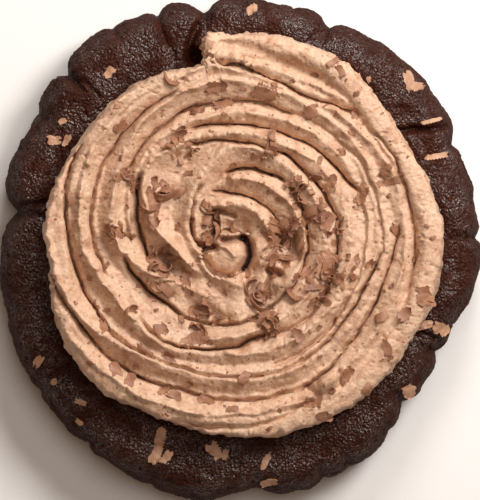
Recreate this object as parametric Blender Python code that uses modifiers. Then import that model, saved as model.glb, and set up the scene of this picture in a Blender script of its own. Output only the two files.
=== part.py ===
"""Chocolate cake cookie: a thick craggy cookie under one piped swirl of buttercream with milk
chocolate shavings pressed into it.  Two solids, the cookie and the frosting.  Sizes below are in
millimetres and degrees; the meshes are made in metres, +Z up, standing on z = 0."""

import math

import bmesh
import bpy
import numpy as np
from mathutils import Matrix, Vector
from mathutils.bvhtree import BVHTree

MM = 0.001

# ---- the cookie ---------------------------------------------------------------------------
COOKIE_H = 18.2          # flat top above the table
SHOULDER = 7.0           # how far in from the rim the top starts to round over
WAIST_H = 8.6            # height of the widest part of the side
FOOT_IN = 3.0            # how far the bottom edge is tucked in
# rim radius at the lobes: (angle, radius)
LOBES = [(-6, 52.8), (15, 52.8), (45, 55.2), (80, 54.9), (104, 56.0), (117, 56.3), (124, 57.0), (141, 55.2),
         (149, 53.4), (158, 53.5), (176, 52.3), (185, 52.9), (192, 52.7), (207, 54.3), (228, 54.7),
         (257, 55.6), (274, 53.8), (285, 54.3), (303, 53.3), (314, 50.8), (325, 50.0), (340, 50.3)]
# notches between lobes: (angle, depth at the rim, width, how far it runs in over the top)
NOTCHES = [(3, 1.6, 1.8, 4.0), (26.5, 1.6, 3.0, 3.0), (68.5, 2.6, 2.0, 5.0), (98.5, 3.0, 2.1, 5.0),
           (109.5, 2.0, 1.7, 15.0), (120, 1.0, 1.2, 3.0), (134.5, 2.8, 1.8, 6.0), (146, 0.8, 1.6, 3.0),
           (170.5, 3.0, 2.4, 9.0), (215, 0.7, 1.4, 4.0), (231.5, 0.9, 1.4, 3.0), (249, 0.7, 1.4, 3.0),
           (273.5, 1.4, 2.8, 5.0), (290, 1.0, 1.3, 3.0), (297, 0.8, 1.3, 3.0), (317, 1.6, 2.2, 4.0),
           (332.5, 1.4, 1.6, 8.0)]
CRAG = 0.85              # height of the lumps on the rim and side
RIM = 53.5               # mean rim radius

# ---- the swirl of buttercream -------------------------------------------------------------
SWIRL_Y = 2.2            # the swirl sits a little off the cookie's middle
BED = COOKIE_H + 0.3     # underside of the frosting
MEAN_EDGE = 43.5         # mean radius of the swirl
SETTLED = 31.0           # inside this radius the facets no longer follow the outer edge
# outer edge of the swirl about its own middle: (angle, radius); the blunt tail is the step
FROSTING_EDGE = [(0, 44.7), (15, 43.6), (30, 42.2), (45, 43.3), (60, 45.1), (75, 45.4), (99.4, 45.1),
                 (101.0, 39.2), (120, 40.8), (150, 41.6), (175, 43.1), (187, 42.5), (210, 44.7),
                 (225, 45.1), (240, 43.3), (255, 42.9), (285, 43.8), (300, 44.0), (330, 43.6),
                 (345, 44.4)]
# Ridges left by the star tip.  line: (turned angle, radius) along the crest; top: crest height;
# out, inn: half widths of its outer and inner flank; rise, fall: degrees over which it starts, ends.
RIBS = {
    "lip": dict(line=[(392, 41.0), (405, 42.2), (430, 43.3), (462, 43.4)],
                rise=30, fall=0, top=8.6, out=2.6, inn=3.0),
    "first": dict(line=[(246, 41.8), (300, 41.4), (375, 41.1), (405, 38.9), (430, 37.4), (448, 38.6),
                        (462, 40.0)],
                  rise=50, fall=0, top=9.4, out=3.4, inn=4.0),
    "long": dict(line=[(187, 41.8), (200, 42.5), (225, 41.1), (252, 39.2), (300, 37.0), (330, 35.6),
                       (375, 36.3), (405, 35.2), (430, 35.2), (465, 38.3), (495, 38.5), (520, 36.7),
                       (540, 34.3), (565, 30.1), (592, 28.4), (625, 25.1), (690, 24.6), (750, 23.8),
                       (800, 23.1), (840, 24.6), (860, 25.7), (870, 24.2), (890, 19.3), (907, 14.7),
                       (932, 11.9), (960, 10.1)],
                 rise=30, fall=40, top=10.4, out=3.2, inn=4.2),
    "next": dict(line=[(150, 40.5), (178, 42.0), (200, 39.7), (222, 34.8), (247, 31.2), (330, 30.1),
                       (360, 31.7), (435, 33.4), (460, 35.2), (480, 34.1), (511, 30.6), (545, 26.2),
                       (557, 22.2), (570, 17.6), (592, 14.3), (610, 13.2)],
                 rise=30, fall=25, top=10.4, out=3.2, inn=4.0),
    "thin": dict(line=[(290, 28.6), (330, 27.9), (375, 28.4), (450, 27.9), (480, 28.2), (510, 26.8),
                       (545, 22.9)],
                 rise=25, fall=25, top=9.3, out=1.8, inn=2.2),
    "inner": dict(line=[(600, 24.6), (625, 21.3), (660, 19.1), (750, 18.5), (780, 18.9), (810, 20.5),
                        (832, 17.6), (860, 13.6), (895, 10.8), (934, 9.0), (966, 8.6), (984, 9.9),
                        (1000, 10.8)],
                  rise=20, fall=10, top=10.6, out=3.2, inn=3.8),
    "heart": dict(line=[(290, 15.8), (320, 14.5), (341, 13.9), (362, 14.5), (390, 13.4), (462, 13.6)],
                  rise=20, fall=6, top=9.8, out=2.4, inn=3.4),
    "core": dict(line=[(270, 10.1), (306, 7.0), (340, 5.9), (389, 6.3), (427, 7.4), (456, 7.9), (486, 7.9)],
                 rise=30, fall=10, top=10.0, out=3.0, inn=4.4),
}
VALLEY = 6.4             # lowest the frosting gets between ridges
BUD = (-2.1, -2.5, 4.3, 9.6)   # the round end of the piping at the heart: x, y, radius, height

# ---- shavings ----------------------------------------------------------------------------
# broken pieces on the bare rim: (x, y, length, width, heading)
RIM_SHAVINGS = [(-17.6, -44.0, 5.2, 2.2, 80), (-5.5, -44.0, 3.6, 2.4, 120), (-28.6, 38.9, 2.4, 1.8, 60),
                (37.4, 36.7, 3.4, 2.8, 150), (42.9, 20.5, 4.4, 1.6, 5), (41.8, 28.2, 3.6, 1.4, 15),
                (-40.7, 24.0, 2.8, 1.8, 0), (-38.1, 23.8, 2.4, 1.6, 60), (37.0, -31.0, 2.6, 2.2, 100),
                (5.5, -46.6, 3.6, 1.2, 70), (6.2, -51.0, 2.8, 1.6, 20), (44.0, -17.6, 4.2, 2.6, 160),
                (-44.4, -24.6, 2.2, 1.6, 60)]
# the larger pieces on the swirl, in the same terms
SWIRL_SHAVINGS = [(-5.3, 35.6, 4.0, 2.6, 10), (5.7, 34.5, 5.2, 3.6, 150), (-13.4, 24.6, 4.2, 2.6, 50),
                  (-16.7, 12.5, 4.6, 2.8, 20), (-6.6, 4.0, 4.0, 3.0, 70), (7.0, 24.6, 5.4, 1.6, 80),
                  (33.0, 15.0, 6.0, 1.6, 10), (26.6, 11.9, 4.6, 2.4, 75), (9.9, 5.1, 5.4, 3.2, 60),
                  (16.9, 7.5, 5.0, 3.6, 130), (-24.6, -13.2, 3.8, 2.4, 30), (-15.6, -4.0, 6.6, 5.2, 120),
                  (-9.7, -19.6, 6.4, 3.0, 25), (-27.3, -26.2, 3.2, 2.4, 110), (18.7, -2.9, 5.2, 4.6, 40),
                  (11.7, -10.1, 4.2, 2.4, 150), (0.9, -28.2, 3.8, 2.2, 60), (40.3, -10.1, 4.2, 4.0, 90),
                  (25.1, 29.7, 3.0, 2.0, 95), (36.1, -14.1, 3.2, 2.2, 45), (16.3, -33.4, 3.8, 2.4, 160),
                  (-15.4, 37.0, 4.0, 1.8, 140), (15.4, 30.1, 3.2, 2.6, 20), (31.9, 17.4, 3.0, 2.0, 60)]
SMALL_SHAVINGS = 44      # the rest, scattered over the swirl
SCATTER_SEED = 11


# ---- shape functions ---------------------------------------------------------------------
def smooth(t):
    t = np.clip(t, 0.0, 1.0)
    return t * t * (3.0 - 2.0 * t)


def curve(knots, q):
    """Monotone cubic through (angle, value) knots."""
    x = np.array([k[0] for k in knots], float)
    y = np.array([k[1] for k in knots], float)
    h = np.diff(x)
    d = np.diff(y) / h
    m = np.zeros_like(x)
    m[0], m[-1] = d[0], d[-1]
    same = d[:-1] * d[1:] > 0
    w1 = 2 * h[1:] + h[:-1]
    w2 = h[1:] + 2 * h[:-1]
    safe0 = np.where(same, d[:-1], 1.0)
    safe1 = np.where(same, d[1:], 1.0)
    m[1:-1] = np.where(same, (w1 + w2) / (w1 / safe0 + w2 / safe1), 0.0)
    i = np.clip(np.searchsorted(x, q, side="right") - 1, 0, len(h) - 1)
    t = (q - x[i]) / h[i]
    return (y[i] * (1 + 2 * t) * (1 - t) ** 2 + m[i] * h[i] * t * (1 - t) ** 2
            + y[i + 1] * t * t * (3 - 2 * t) - m[i + 1] * h[i] * t * t * (1 - t))


def around(knots, turn):
    """The same curve closed over a full turn."""
    ring = [(a - 360, v) for a, v in knots[-3:]] + list(knots) + [(a + 360, v) for a, v in knots[:3]]
    return curve(ring, (turn - knots[0][0]) % 360 + knots[0][0])


def lattice(seed):
    return np.random.default_rng(seed).uniform(-1.0, 1.0, (16, 16, 16))


def lumps(x, y, z, size, table):
    """Smooth lumps of about the given size, between -1 and 1."""
    p = [np.asarray(v, float) / size for v in (x, y, z)]
    base = [np.floor(v).astype(int) for v in p]
    f = [smooth(v - b) for v, b in zip(p, base)]
    total = 0.0
    for i in (0, 1):
        for j in (0, 1):
            for k in (0, 1):
                corner = table[(base[0] + i) % 16, (base[1] + j) % 16, (base[2] + k) % 16]
                total = total + corner * (f[0] if i else 1 - f[0]) * (f[1] if j else 1 - f[1]) \
                    * (f[2] if k else 1 - f[2])
    return total


def rim_radius(turn):
    r = around(LOBES, turn)
    for angle, depth, width, _ in NOTCHES:
        off = (turn - angle + 180) % 360 - 180
        r = r - depth * np.exp(-(np.abs(off) / width) ** 1.3)
    return r


def past_swirl(x, y):
    """How far a point lies outside the swirl's edge; negative under it."""
    turn = np.degrees(np.arctan2(y - SWIRL_Y, x)) % 360
    return np.hypot(x, y - SWIRL_Y) - around(FROSTING_EDGE, turn)


def frosting_height(x, y):
    """Height of the piped swirl above its bed."""
    dx, dy = x, y - SWIRL_Y
    r = np.hypot(dx, dy)
    turn = np.degrees(np.arctan2(dy, dx)) % 360
    best = np.full(r.shape, -20.0)
    second = np.full(r.shape, -20.0)
    hills = [np.full(r.shape, VALLEY)]
    for rib in RIBS.values():
        start, stop = rib["line"][0][0], rib["line"][-1][0]
        for lap in range(int(start // 360), int(stop // 360) + 1):
            raw = turn + 360 * lap
            q = np.clip(raw, start, stop)
            crest = curve(rib["line"], q)
            ahead = np.minimum(q + 2, stop)
            back = np.maximum(q - 2, start)
            run = np.radians(np.maximum(ahead - back, 0.001)) * np.maximum(crest, 2.0)
            slope = (curve(rib["line"], ahead) - curve(rib["line"], back)) / run
            across = (r - crest) / np.sqrt(1 + slope ** 2)
            beyond = np.radians(np.abs(raw - q)) * crest
            t = np.hypot(across / np.where(across > 0, rib["out"], rib["inn"]), beyond / 2.2)
            low = 3.6 * (1 - smooth((q - start) / rib["rise"]))
            if rib["fall"]:
                low = low + 2.6 * (1 - smooth((stop - q) / rib["fall"]))
            hills.append(np.where(np.abs(raw - q) < 30, rib["top"] - low - 3.0 * t ** 1.7, -20.0))
    bud = np.hypot(dx - BUD[0], dy - BUD[1]) / BUD[2]
    hills.append(BUD[3] - 1.6 * bud ** 2 - 6 * np.maximum(bud - 1, 0))
    for hill in hills:
        second = np.maximum(second, np.minimum(best, hill))
        best = np.maximum(best, hill)
    z = best - 1.1 * np.exp(-(best - second) / 0.35)
    inset = around(FROSTING_EDGE, turn) - r
    wall = 2.2 + 8.6 * np.sqrt(np.clip(1 - (1 - np.clip(inset / 3.4, 0, 1)) ** 2, 0, 1))
    wall = wall + 2 * np.maximum(inset - 3.4, 0)
    h = np.clip(0.5 + 0.5 * (wall - z), 0, 1)
    return z * h + wall * (1 - h) - h * (1 - h)


# ---- meshes ------------------------------------------------------------------------------
def turned(name, home, profile, steps):
    """Solid turned from a profile that runs from the top middle out, down and back under."""
    mesh = bpy.data.meshes.new(name)
    mesh.from_pydata([(r * MM, 0.0, z * MM) for r, z in profile],
                     [(i, i + 1) for i in range(len(profile) - 1)], [])
    obj = bpy.data.objects.new(name, mesh)
    home.objects.link(obj)
    screw = obj.modifiers.new("turn", "SCREW")
    screw.steps = steps
    screw.render_steps = steps
    screw.use_merge_vertices = True
    screw.merge_threshold = 0.0001
    apply_all(obj)
    bm = bmesh.new()
    bm.from_mesh(obj.data)
    bmesh.ops.triangulate(bm, faces=bm.faces)
    bm.to_mesh(obj.data)
    bm.free()
    return obj


def apply_all(obj):
    deps = bpy.context.evaluated_depsgraph_get()
    mesh = bpy.data.meshes.new_from_object(obj.evaluated_get(deps), depsgraph=deps)
    obj.modifiers.clear()
    obj.data = mesh
    mesh.name = obj.name


def reshape(obj, rule):
    """Move every point of a turned solid: rule takes radius, turn and height, gives x, y, z."""
    flat = np.empty(len(obj.data.vertices) * 3, np.float32)
    obj.data.vertices.foreach_get("co", flat)
    x, y, z = (flat.reshape(-1, 3).astype(float) / MM).T
    turn = np.degrees(np.arctan2(y, x)) % 360
    moved = np.stack(rule(np.hypot(x, y), turn, z), axis=1) * MM
    obj.data.vertices.foreach_set("co", moved.astype(np.float32).ravel())
    obj.data.update()


def thin_out(obj, triangles):
    """Fewer facets, kept where the shape turns."""
    mod = obj.modifiers.new("fewer", "DECIMATE")
    mod.ratio = triangles / len(obj.data.polygons)
    apply_all(obj)


def keep_largest(obj):
    """Drop loose scraps left by the union."""
    bm = bmesh.new()
    bm.from_mesh(obj.data)
    left = set(bm.verts)
    groups = []
    while left:
        seed = left.pop()
        group = [seed]
        front = [seed]
        while front:
            vert = front.pop()
            for edge in vert.link_edges:
                other = edge.other_vert(vert)
                if other in left:
                    left.discard(other)
                    group.append(other)
                    front.append(other)
        groups.append(group)
    groups.sort(key=len, reverse=True)
    scraps = [v for g in groups[1:] for v in g]
    if scraps:
        bmesh.ops.delete(bm, geom=scraps, context="VERTS")
    bmesh.ops.triangulate(bm, faces=bm.faces)
    bm.to_mesh(obj.data)
    bm.free()


def make_cookie(home):
    profile = [(0.0, COOKIE_H), (22.0, COOKIE_H), (38.0, COOKIE_H)]
    for inset in (SHOULDER, 5.3, 3.8, 2.4, 1.2, 0.4, 0.0):
        rise = (1 - (1 - inset / SHOULDER) ** 2.4) ** (1 / 2.4)
        profile.append((RIM - inset, WAIST_H + (COOKIE_H - WAIST_H) * rise))
    for a in np.radians([30, 60, 90]):
        profile.append((RIM - FOOT_IN * (1 - math.cos(a)), WAIST_H * (1 - math.sin(a))))
    profile += [(28.0, 0.0), (0.0, 0.0)]
    cookie = turned("cookie", home, profile, 150)
    crags, pebbles = lattice(3), lattice(5)

    def rule(r, turn, z):
        inset = RIM - r
        inner = RIM - SHOULDER
        rim = rim_radius(turn)
        radius = np.where(r > inner, rim - inset, r * (rim - SHOULDER) / inner)
        c, s = np.cos(np.radians(turn)), np.sin(np.radians(turn))
        x, y = radius * c, radius * s
        bump = CRAG * (lumps(x, y, z, 8.0, crags) + 0.8 * lumps(x, y, z, 4.4, pebbles))
        bump = bump * smooth((z - 0.3) / 4.0) * smooth((r - inner + 8.0) / 8.0)
        up = smooth((z - WAIST_H) / (COOKIE_H - WAIST_H))
        bare = smooth((past_swirl(x, y) - 2.6) / 2.0)
        cut = np.zeros_like(x)
        for angle, depth, width, run in NOTCHES:
            off = np.abs((turn - angle + 180) % 360 - 180) / (0.8 * width)
            fade = 1 - smooth((inset - 0.25 * run) / (0.75 * run))
            cut = cut + 0.8 * depth * np.exp(-off ** 1.6) * fade * (z > WAIST_H - 1)
        radius = radius + bump * (1 - up)
        return radius * c, radius * s, z + up * (bump * bare - cut)

    reshape(cookie, rule)
    return cookie


def make_frosting(home):
    profile = [(0.0, BED + 9.0)]
    profile += [(r, BED + 9.0) for r in np.linspace(1.1, 40.6, 40)]
    for inset in (2.4, 1.6, 0.9, 0.35, 0.0):
        profile.append((MEAN_EDGE - inset, BED + 3.0 + inset))
    profile += [(MEAN_EDGE - 0.35, BED + 0.9), (MEAN_EDGE - 1.3, BED), (22.0, BED), (0.0, BED)]
    frosting = turned("frosting", home, profile, 180)

    def rule(r, turn, z):
        edge = around(FROSTING_EDGE, turn)
        inset = MEAN_EDGE - r
        spread = SETTLED + (r - SETTLED) * (edge - 3.0 - SETTLED) / (MEAN_EDGE - 3.0 - SETTLED)
        radius = np.where(inset < 3.0, edge - inset, np.where(r < SETTLED, r, spread))
        x = radius * np.cos(np.radians(turn))
        y = SWIRL_Y + radius * np.sin(np.radians(turn))
        return x, y, np.where(z > BED + 2.0, BED + frosting_height(x, y), z)

    reshape(frosting, rule)
    return frosting


def shaving(name, home, tree, place, thick):
    """One curled sliver of chocolate lying on the surface below it, half sunk in."""
    x, y, length, width, heading = place
    hit, normal, _, _ = tree.ray_cast(Vector((x * MM, y * MM, 0.06)), Vector((0, 0, -1)))
    along = Matrix.Rotation(math.radians(heading), 3, "Z") @ Vector((1, 0, 0))
    normal = (normal + Vector((0, 0, 0.6))).normalized()
    side = normal.cross(along).normalized()
    along = side.cross(normal)
    bm = bmesh.new()
    bmesh.ops.create_cube(bm, size=1.0)
    long_edges = [e for e in bm.edges if abs(e.verts[0].co.x - e.verts[1].co.x) > 0.5]
    bmesh.ops.subdivide_edges(bm, edges=long_edges, cuts=1)
    for vert in bm.verts:
        t, u, v = vert.co
        half = 1.0 - 1.3 * abs(t) ** 1.5 + 0.15 * t
        lift = 0.2 + 2.0 * t * t + 0.2 * t - (0.5 - v) * thick
        vert.co = hit + (along * (t * length + 0.2 * u * t * width)
                         + side * (u * half * width) + normal * lift) * MM
    bmesh.ops.triangulate(bm, faces=bm.faces)
    mesh = bpy.data.meshes.new(name)
    bm.to_mesh(mesh)
    bm.free()
    obj = bpy.data.objects.new(name, mesh)
    home.objects.link(obj)
    obj.hide_render = True
    return obj


def scattered(rng, taken, wanted):
    """Places for the small shavings: each keeps clear of the ones before it."""
    places = []
    while len(places) < wanted:
        radius = 42.0 * math.sqrt(rng.uniform(0.01, 0.96))
        turn = rng.uniform(0, 360)
        x = radius * math.cos(math.radians(turn))
        y = SWIRL_Y + radius * math.sin(math.radians(turn))
        if float(past_swirl(np.array([x]), np.array([y]))[0]) > -2.5:
            continue
        if all(math.hypot(x - p[0], y - p[1]) > 4.6 for p in taken + places):
            places.append((x, y, rng.uniform(2.2, 3.4), rng.uniform(1.5, 2.1), rng.uniform(0, 180)))
    return places


def fuse(obj, home, places, thick):
    """Union a node with its shavings, then clear the shavings away."""
    tree = BVHTree.FromPolygons([v.co for v in obj.data.vertices],
                                [tuple(p.vertices) for p in obj.data.polygons])
    group = bpy.data.collections.new(obj.name + "_shavings")
    bpy.context.scene.collection.children.link(group)
    for i, place in enumerate(places):
        shaving("%s_shaving_%02d" % (obj.name, i), group, tree, place, thick)
    union = obj.modifiers.new("shavings", "BOOLEAN")
    union.operation = "UNION"
    union.operand_type = "COLLECTION"
    union.collection = group
    union.solver = "MANIFOLD"
    apply_all(obj)
    for other in list(group.objects):
        bpy.data.objects.remove(other)
    bpy.data.collections.remove(group)
    keep_largest(obj)


def finish_of(name, colour, roughness):
    mat = bpy.data.materials.new(name)
    mat.use_nodes = True
    bsdf = mat.node_tree.nodes["Principled BSDF"]
    bsdf.inputs["Base Color"].default_value = colour + (1.0,)
    bsdf.inputs["Roughness"].default_value = roughness
    bsdf.inputs["Metallic"].default_value = 0.0
    return mat


def main():
    for obj in list(bpy.data.objects):
        bpy.data.objects.remove(obj)
    home = bpy.data.collections.new("chocolate_cake_cookie")
    bpy.context.scene.collection.children.link(home)

    cookie = make_cookie(home)
    fuse(cookie, home, RIM_SHAVINGS, 1.3)
    cookie.data.materials.clear()
    cookie.data.materials.append(finish_of("cookie_crumb", (0.035, 0.013, 0.008), 0.55))

    frosting = make_frosting(home)
    thin_out(frosting, 5600)
    rng = np.random.default_rng(SCATTER_SEED)
    places = SWIRL_SHAVINGS + scattered(rng, SWIRL_SHAVINGS, SMALL_SHAVINGS)
    fuse(frosting, home, places, 1.3)
    frosting.data.materials.clear()
    frosting.data.materials.append(finish_of("buttercream", (0.62, 0.36, 0.23), 0.5))


main()
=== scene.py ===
"""Chocolate cake cookie with a piped buttercream swirl and milk chocolate shavings.

Sizes are in millimetres and degrees; only the studio's are in metres. Meshes are made in metres.
The frosting and the cookie here are the fine surfaces of the two solids they stand for.
Relief is made of layers of lumps, each a height, a size and a seed of its own."""

import math

import bpy
import numpy as np
from mathutils import Matrix, Vector
from mathutils.bvhtree import BVHTree


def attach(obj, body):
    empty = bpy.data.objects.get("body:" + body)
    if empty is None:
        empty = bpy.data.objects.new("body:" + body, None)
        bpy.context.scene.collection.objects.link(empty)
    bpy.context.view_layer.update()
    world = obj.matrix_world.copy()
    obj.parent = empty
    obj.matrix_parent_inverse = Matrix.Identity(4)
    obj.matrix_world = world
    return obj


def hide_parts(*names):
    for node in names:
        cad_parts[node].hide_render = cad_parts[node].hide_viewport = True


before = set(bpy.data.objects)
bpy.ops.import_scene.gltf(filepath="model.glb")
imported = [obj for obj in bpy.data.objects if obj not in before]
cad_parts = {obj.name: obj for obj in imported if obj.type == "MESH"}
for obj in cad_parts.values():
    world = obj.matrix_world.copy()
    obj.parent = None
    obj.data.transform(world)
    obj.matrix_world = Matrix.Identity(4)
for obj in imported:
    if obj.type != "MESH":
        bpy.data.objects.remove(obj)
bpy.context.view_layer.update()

MM = 0.001
# places where there is no ridge or tail count as this far from one
FAR = 9.0
# near its middle, a sideways shift is shared out as if at least this far out
MIDDLE = 4.0
# keeps the lattice coordinates of the lumps positive
LATTICE_SHIFT = 500.0
# lumps that rise above this become holes
HOLE_LEVEL = 0.62

# ---- the cookie ---------------------------------------------------------------------------
COOKIE_H = 18.2
MEAN_RIM = 53.0
# the side: a full round shoulder above the widest height, a foot tucked in below it
SHOULDER = 7.0
SHOULDER_FULL = 2.4
WAIST_H = 8.6
FOOT_IN = 3.0
# rim radius at the lobes: (angle, radius)
LOBES = [(-6, 52.8), (15, 52.8), (45, 55.2), (80, 54.9), (104, 56.0), (117, 56.3), (124, 57.0),
         (141, 55.2), (149, 53.4), (158, 53.5), (176, 52.3), (185, 52.9), (192, 52.7), (207, 54.3),
         (228, 54.7), (257, 55.6), (274, 53.8), (285, 54.3), (303, 53.3), (314, 50.8), (325, 50.0),
         (340, 50.3)]
# notches between lobes: (angle, depth at the rim, width, how far it runs in over the top)
NOTCHES = [(3, 1.6, 1.8, 4.0), (26.5, 1.6, 3.0, 3.0), (68.5, 2.6, 2.0, 5.0), (98.5, 3.0, 2.1, 5.0),
           (109.5, 2.0, 1.7, 15.0), (120, 1.0, 1.2, 3.0), (134.5, 2.8, 1.8, 6.0), (146, 0.8, 1.6, 3.0),
           (170.5, 3.0, 2.4, 9.0), (215, 0.7, 1.4, 4.0), (231.5, 0.9, 1.4, 3.0), (249, 0.7, 1.4, 3.0),
           (273.5, 1.4, 2.8, 5.0), (290, 1.0, 1.3, 3.0), (297, 0.8, 1.3, 3.0), (317, 1.6, 2.2, 4.0),
           (332.5, 1.4, 1.6, 8.0)]
# how roundly a notch's sides fall in
NOTCH_POWER = 1.3
# on the way in over the top a notch is narrower and wanders; down the side it bends and fades
NOTCH_NARROW = 0.42
NOTCH_WANDER = 1.3
NOTCH_BEND = 2.4
NOTCH_LOST = 0.5
# cracks in the bare rim: (half width, lift, points)
CRACKS = [(0.85, -2.4, [(-8.8, 49.5), (-11.0, 45.1), (-10.3, 41.4), (-8.4, 40.4)]),
          (1.70, -3.0, [(-9.6, 42.2), (-7.8, 41.8)]),
          (0.60, -1.9, [(34.8, 26.5), (41.8, 26.2), (45.3, 27.1)]),
          (0.70, -1.5, [(-50.5, 9.3), (-42.9, 10.1)]),
          (0.80, -1.6, [(37.4, -17.3), (44.0, -20.4)]),
          (0.55, -1.0, [(18.8, 50.5), (17.4, 47.6), (15.6, 46.4)]),
          (0.50, -0.9, [(-31.0, 33.5), (-33.4, 36.5), (-37.4, 38.2)]),
          (0.50, -0.9, [(41.0, -22.5), (44.6, -22.0)])]
CRACK_STRAY = 0.5
# uneven dough: (height, size, seed)
RIM_ROUGH = [(0.25, 2.4, 8)]
COOKIE_UNEVEN = [(0.7, 9.0, 3), (0.24, 4.6, 5), (0.07, 2.2, 6)]
WRINKLE = 0.20
# splits down the side
SPLIT_DEPTH = 0.8
SPLIT_APART = 6.0
SPLIT_WIDTH = 0.08
# crumb: grains, the gaps between them, pores (depth, size, softness of edge, seed) and grit
GRAIN_SIZE = 1.15
GRAIN_RELIEF = 0.25
GRAIN_GAP = 0.05
CRUMB_PORES = (0.40, 1.3, 0.2, 52)
CRUMB_GRIT = [(0.09, 0.6, 53)]
# how far the dough under the frosting is pressed down
BED_SINK = 0.2
# mesh: points in a ring, rings in the foot and the shoulder, then rings this far apart as far in
# as the crumb goes; below and under the frosting a few plain rings do
COOKIE_COLUMNS = 880
FOOT_RINGS = 20
SHOULDER_RINGS = 40
RING_STEP = 0.32
CRUMB_END = 18.0
BASE_INSETS = (34.0, 12.0)
COVERED_INSETS = (24.0, 36.0)

# ---- the swirl ----------------------------------------------------------------------------
# its own middle is this far from the cookie's, and it lies just clear of the cookie's top
SWIRL_Y = 2.2
BED = COOKIE_H + 0.3
# mean radius of the outline and of the laps
MEAN_EDGE = 43.5
MEAN_LAP = 24.0
# the blunt end of the piping: the turn where it stops, the radius of its inner side, how far
# round from there it counts, and where and how widely it is torn
TAIL_END = 100.2
TAIL_IN = 39.6
TAIL_REACH = 30.0
TORN_AT = 97.0
TORN_SPREAD = 5.0
# outer edge about the swirl's own middle: (angle, radius); the step is the blunt tail
FROSTING_EDGE = [(0, 44.7), (15, 43.6), (30, 42.2), (45, 43.3), (60, 45.1), (75, 45.4), (99.4, 45.1),
                 (101.0, 39.2), (120, 40.8), (150, 41.6), (175, 43.1), (187, 42.5), (210, 44.7),
                 (225, 45.1), (240, 43.3), (255, 42.9), (285, 43.8), (300, 44.0), (330, 43.6),
                 (345, 44.4)]
# Ridges left by the star tip.  line: (turned angle, radius) along the crest; top: crest height;
# out, inn: half widths of its flanks; rise, fall: degrees over which it starts and ends.
RIBS = {
    "lip": dict(line=[(392, 41.0), (405, 42.2), (430, 43.3), (462, 43.4)],
                rise=30, fall=0, top=9.6, out=2.6, inn=3.2),
    "first": dict(line=[(246, 41.8), (300, 41.4), (375, 41.1), (405, 38.9), (430, 37.4), (448, 38.6),
                        (462, 40.0)],
                  rise=50, fall=0, top=9.4, out=3.4, inn=4.0),
    "long": dict(line=[(187, 41.8), (200, 42.5), (225, 41.1), (252, 39.2), (300, 37.0), (330, 35.6),
                       (375, 36.3), (405, 35.2), (430, 35.2), (465, 38.3), (495, 38.5), (520, 36.7),
                       (540, 34.3), (565, 30.1), (592, 28.4), (625, 25.1), (690, 24.6), (750, 23.8),
                       (800, 23.1), (840, 24.6), (860, 25.7), (870, 24.2), (890, 19.3), (907, 14.7),
                       (932, 11.9), (960, 10.1)],
                 rise=30, fall=40, top=10.4, out=3.2, inn=4.2),
    "next": dict(line=[(150, 40.5), (178, 42.0), (200, 39.7), (222, 34.8), (247, 31.2), (330, 30.1),
                       (360, 31.7), (435, 33.4), (460, 35.2), (480, 34.1), (511, 30.6), (545, 26.2),
                       (557, 22.2), (570, 17.6), (592, 14.3), (610, 13.2)],
                 rise=30, fall=25, top=10.4, out=3.2, inn=4.0),
    "thin": dict(line=[(290, 28.6), (330, 27.9), (375, 28.4), (450, 27.9), (480, 28.2), (510, 26.8),
                       (545, 22.9)],
                 rise=25, fall=25, top=9.3, out=1.8, inn=2.2),
    "inner": dict(line=[(600, 24.6), (625, 21.3), (660, 19.1), (750, 18.5), (780, 18.9), (810, 20.5),
                        (832, 17.6), (860, 13.6), (895, 10.8), (934, 9.0), (966, 8.6), (984, 9.9),
                        (1000, 10.8)],
                  rise=20, fall=10, top=10.6, out=3.2, inn=3.8),
    "heart": dict(line=[(290, 15.8), (320, 14.5), (341, 13.9), (362, 14.5), (390, 13.4), (462, 13.6)],
                  rise=20, fall=6, top=9.8, out=2.4, inn=3.4),
    "core": dict(line=[(270, 10.1), (306, 7.0), (340, 5.9), (389, 6.3), (427, 7.4), (456, 7.9), (486, 7.9)],
                 rise=30, fall=10, top=10.0, out=3.0, inn=4.4),
}
# a ridge's rounded crest, the shape of its flanks, its rounded end, and the degrees past its end
# beyond which it isn't looked for
CREST_ROUND = 0.07
FLANK_POWER = 1.25
RIDGE_END = 2.0
RIDGE_REACH = 30.0
# how high the ridges stand as a share of their top, round the swirl: mean, swing and lowest turn
RIDGE_SHARE = 0.74
RIDGE_SWING = 0.26
LOWEST_AT = 10.0
# the texture's run along a ridge, kept apart from ridge to ridge, and away from the ridges
RUN_APART = 50.0
LOOSE_RUN = 0.4
# height of the body that the ridges stand on, and the hollow at its middle
BODY_H = 7.3
HOLLOW = 1.6
HOLLOW_WIDTH = 9.0
# the raised lip inside the edge
LIP_RISE = 1.4
LIP_SLOPE = 0.3
LIP_WIDTH = 3.0
LIP_END = 7.0
# the outer wall: its foot, the height over the foot, and the rounding at its top
WALL_FOOT = 2.8
WALL_RISE = 8.0
WALL_ROUND = 2.3
# the underside, how far the wall is tucked in there, and the angles of the rings down to it
UNDERSIDE = -0.4
TUCK = 1.9
WALL_ANGLES = [78, 62, 45, 28, 12, 0]
# the ridges that the star tip left along the wall: spacing, depth, and how high up they go
SIDE_RIDGE = 2.9
SIDE_DEPTH = 0.55
SIDE_TOP = 8.6
# a groove's half width outside and inside its line, how much deeper than listed it is cut, the
# height at which it stops, and the soft shoulder outside it
GROOVE_OUTER = 0.55
GROOVE_INNER = 0.36
GROOVE_DEEPER = 1.9
GROOVE_FLOOR = 0.6
SHOULDER_SHARE = 0.10
SHOULDER_OUTER = 1.2
# how far a groove's wall leans out, and how far, where and how widely the next lap hangs over it
UNDERCUT = 0.7
OVERLAP = 0.5
OVERLAP_AT = 0.6
OVERLAP_WIDTH = 0.45
# degrees over which a groove starts and ends, and over which it closes; degrees past its end
GROOVE_FADE = 9.0
CLOSING = 8.0
GROOVE_END = 2.0
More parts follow.
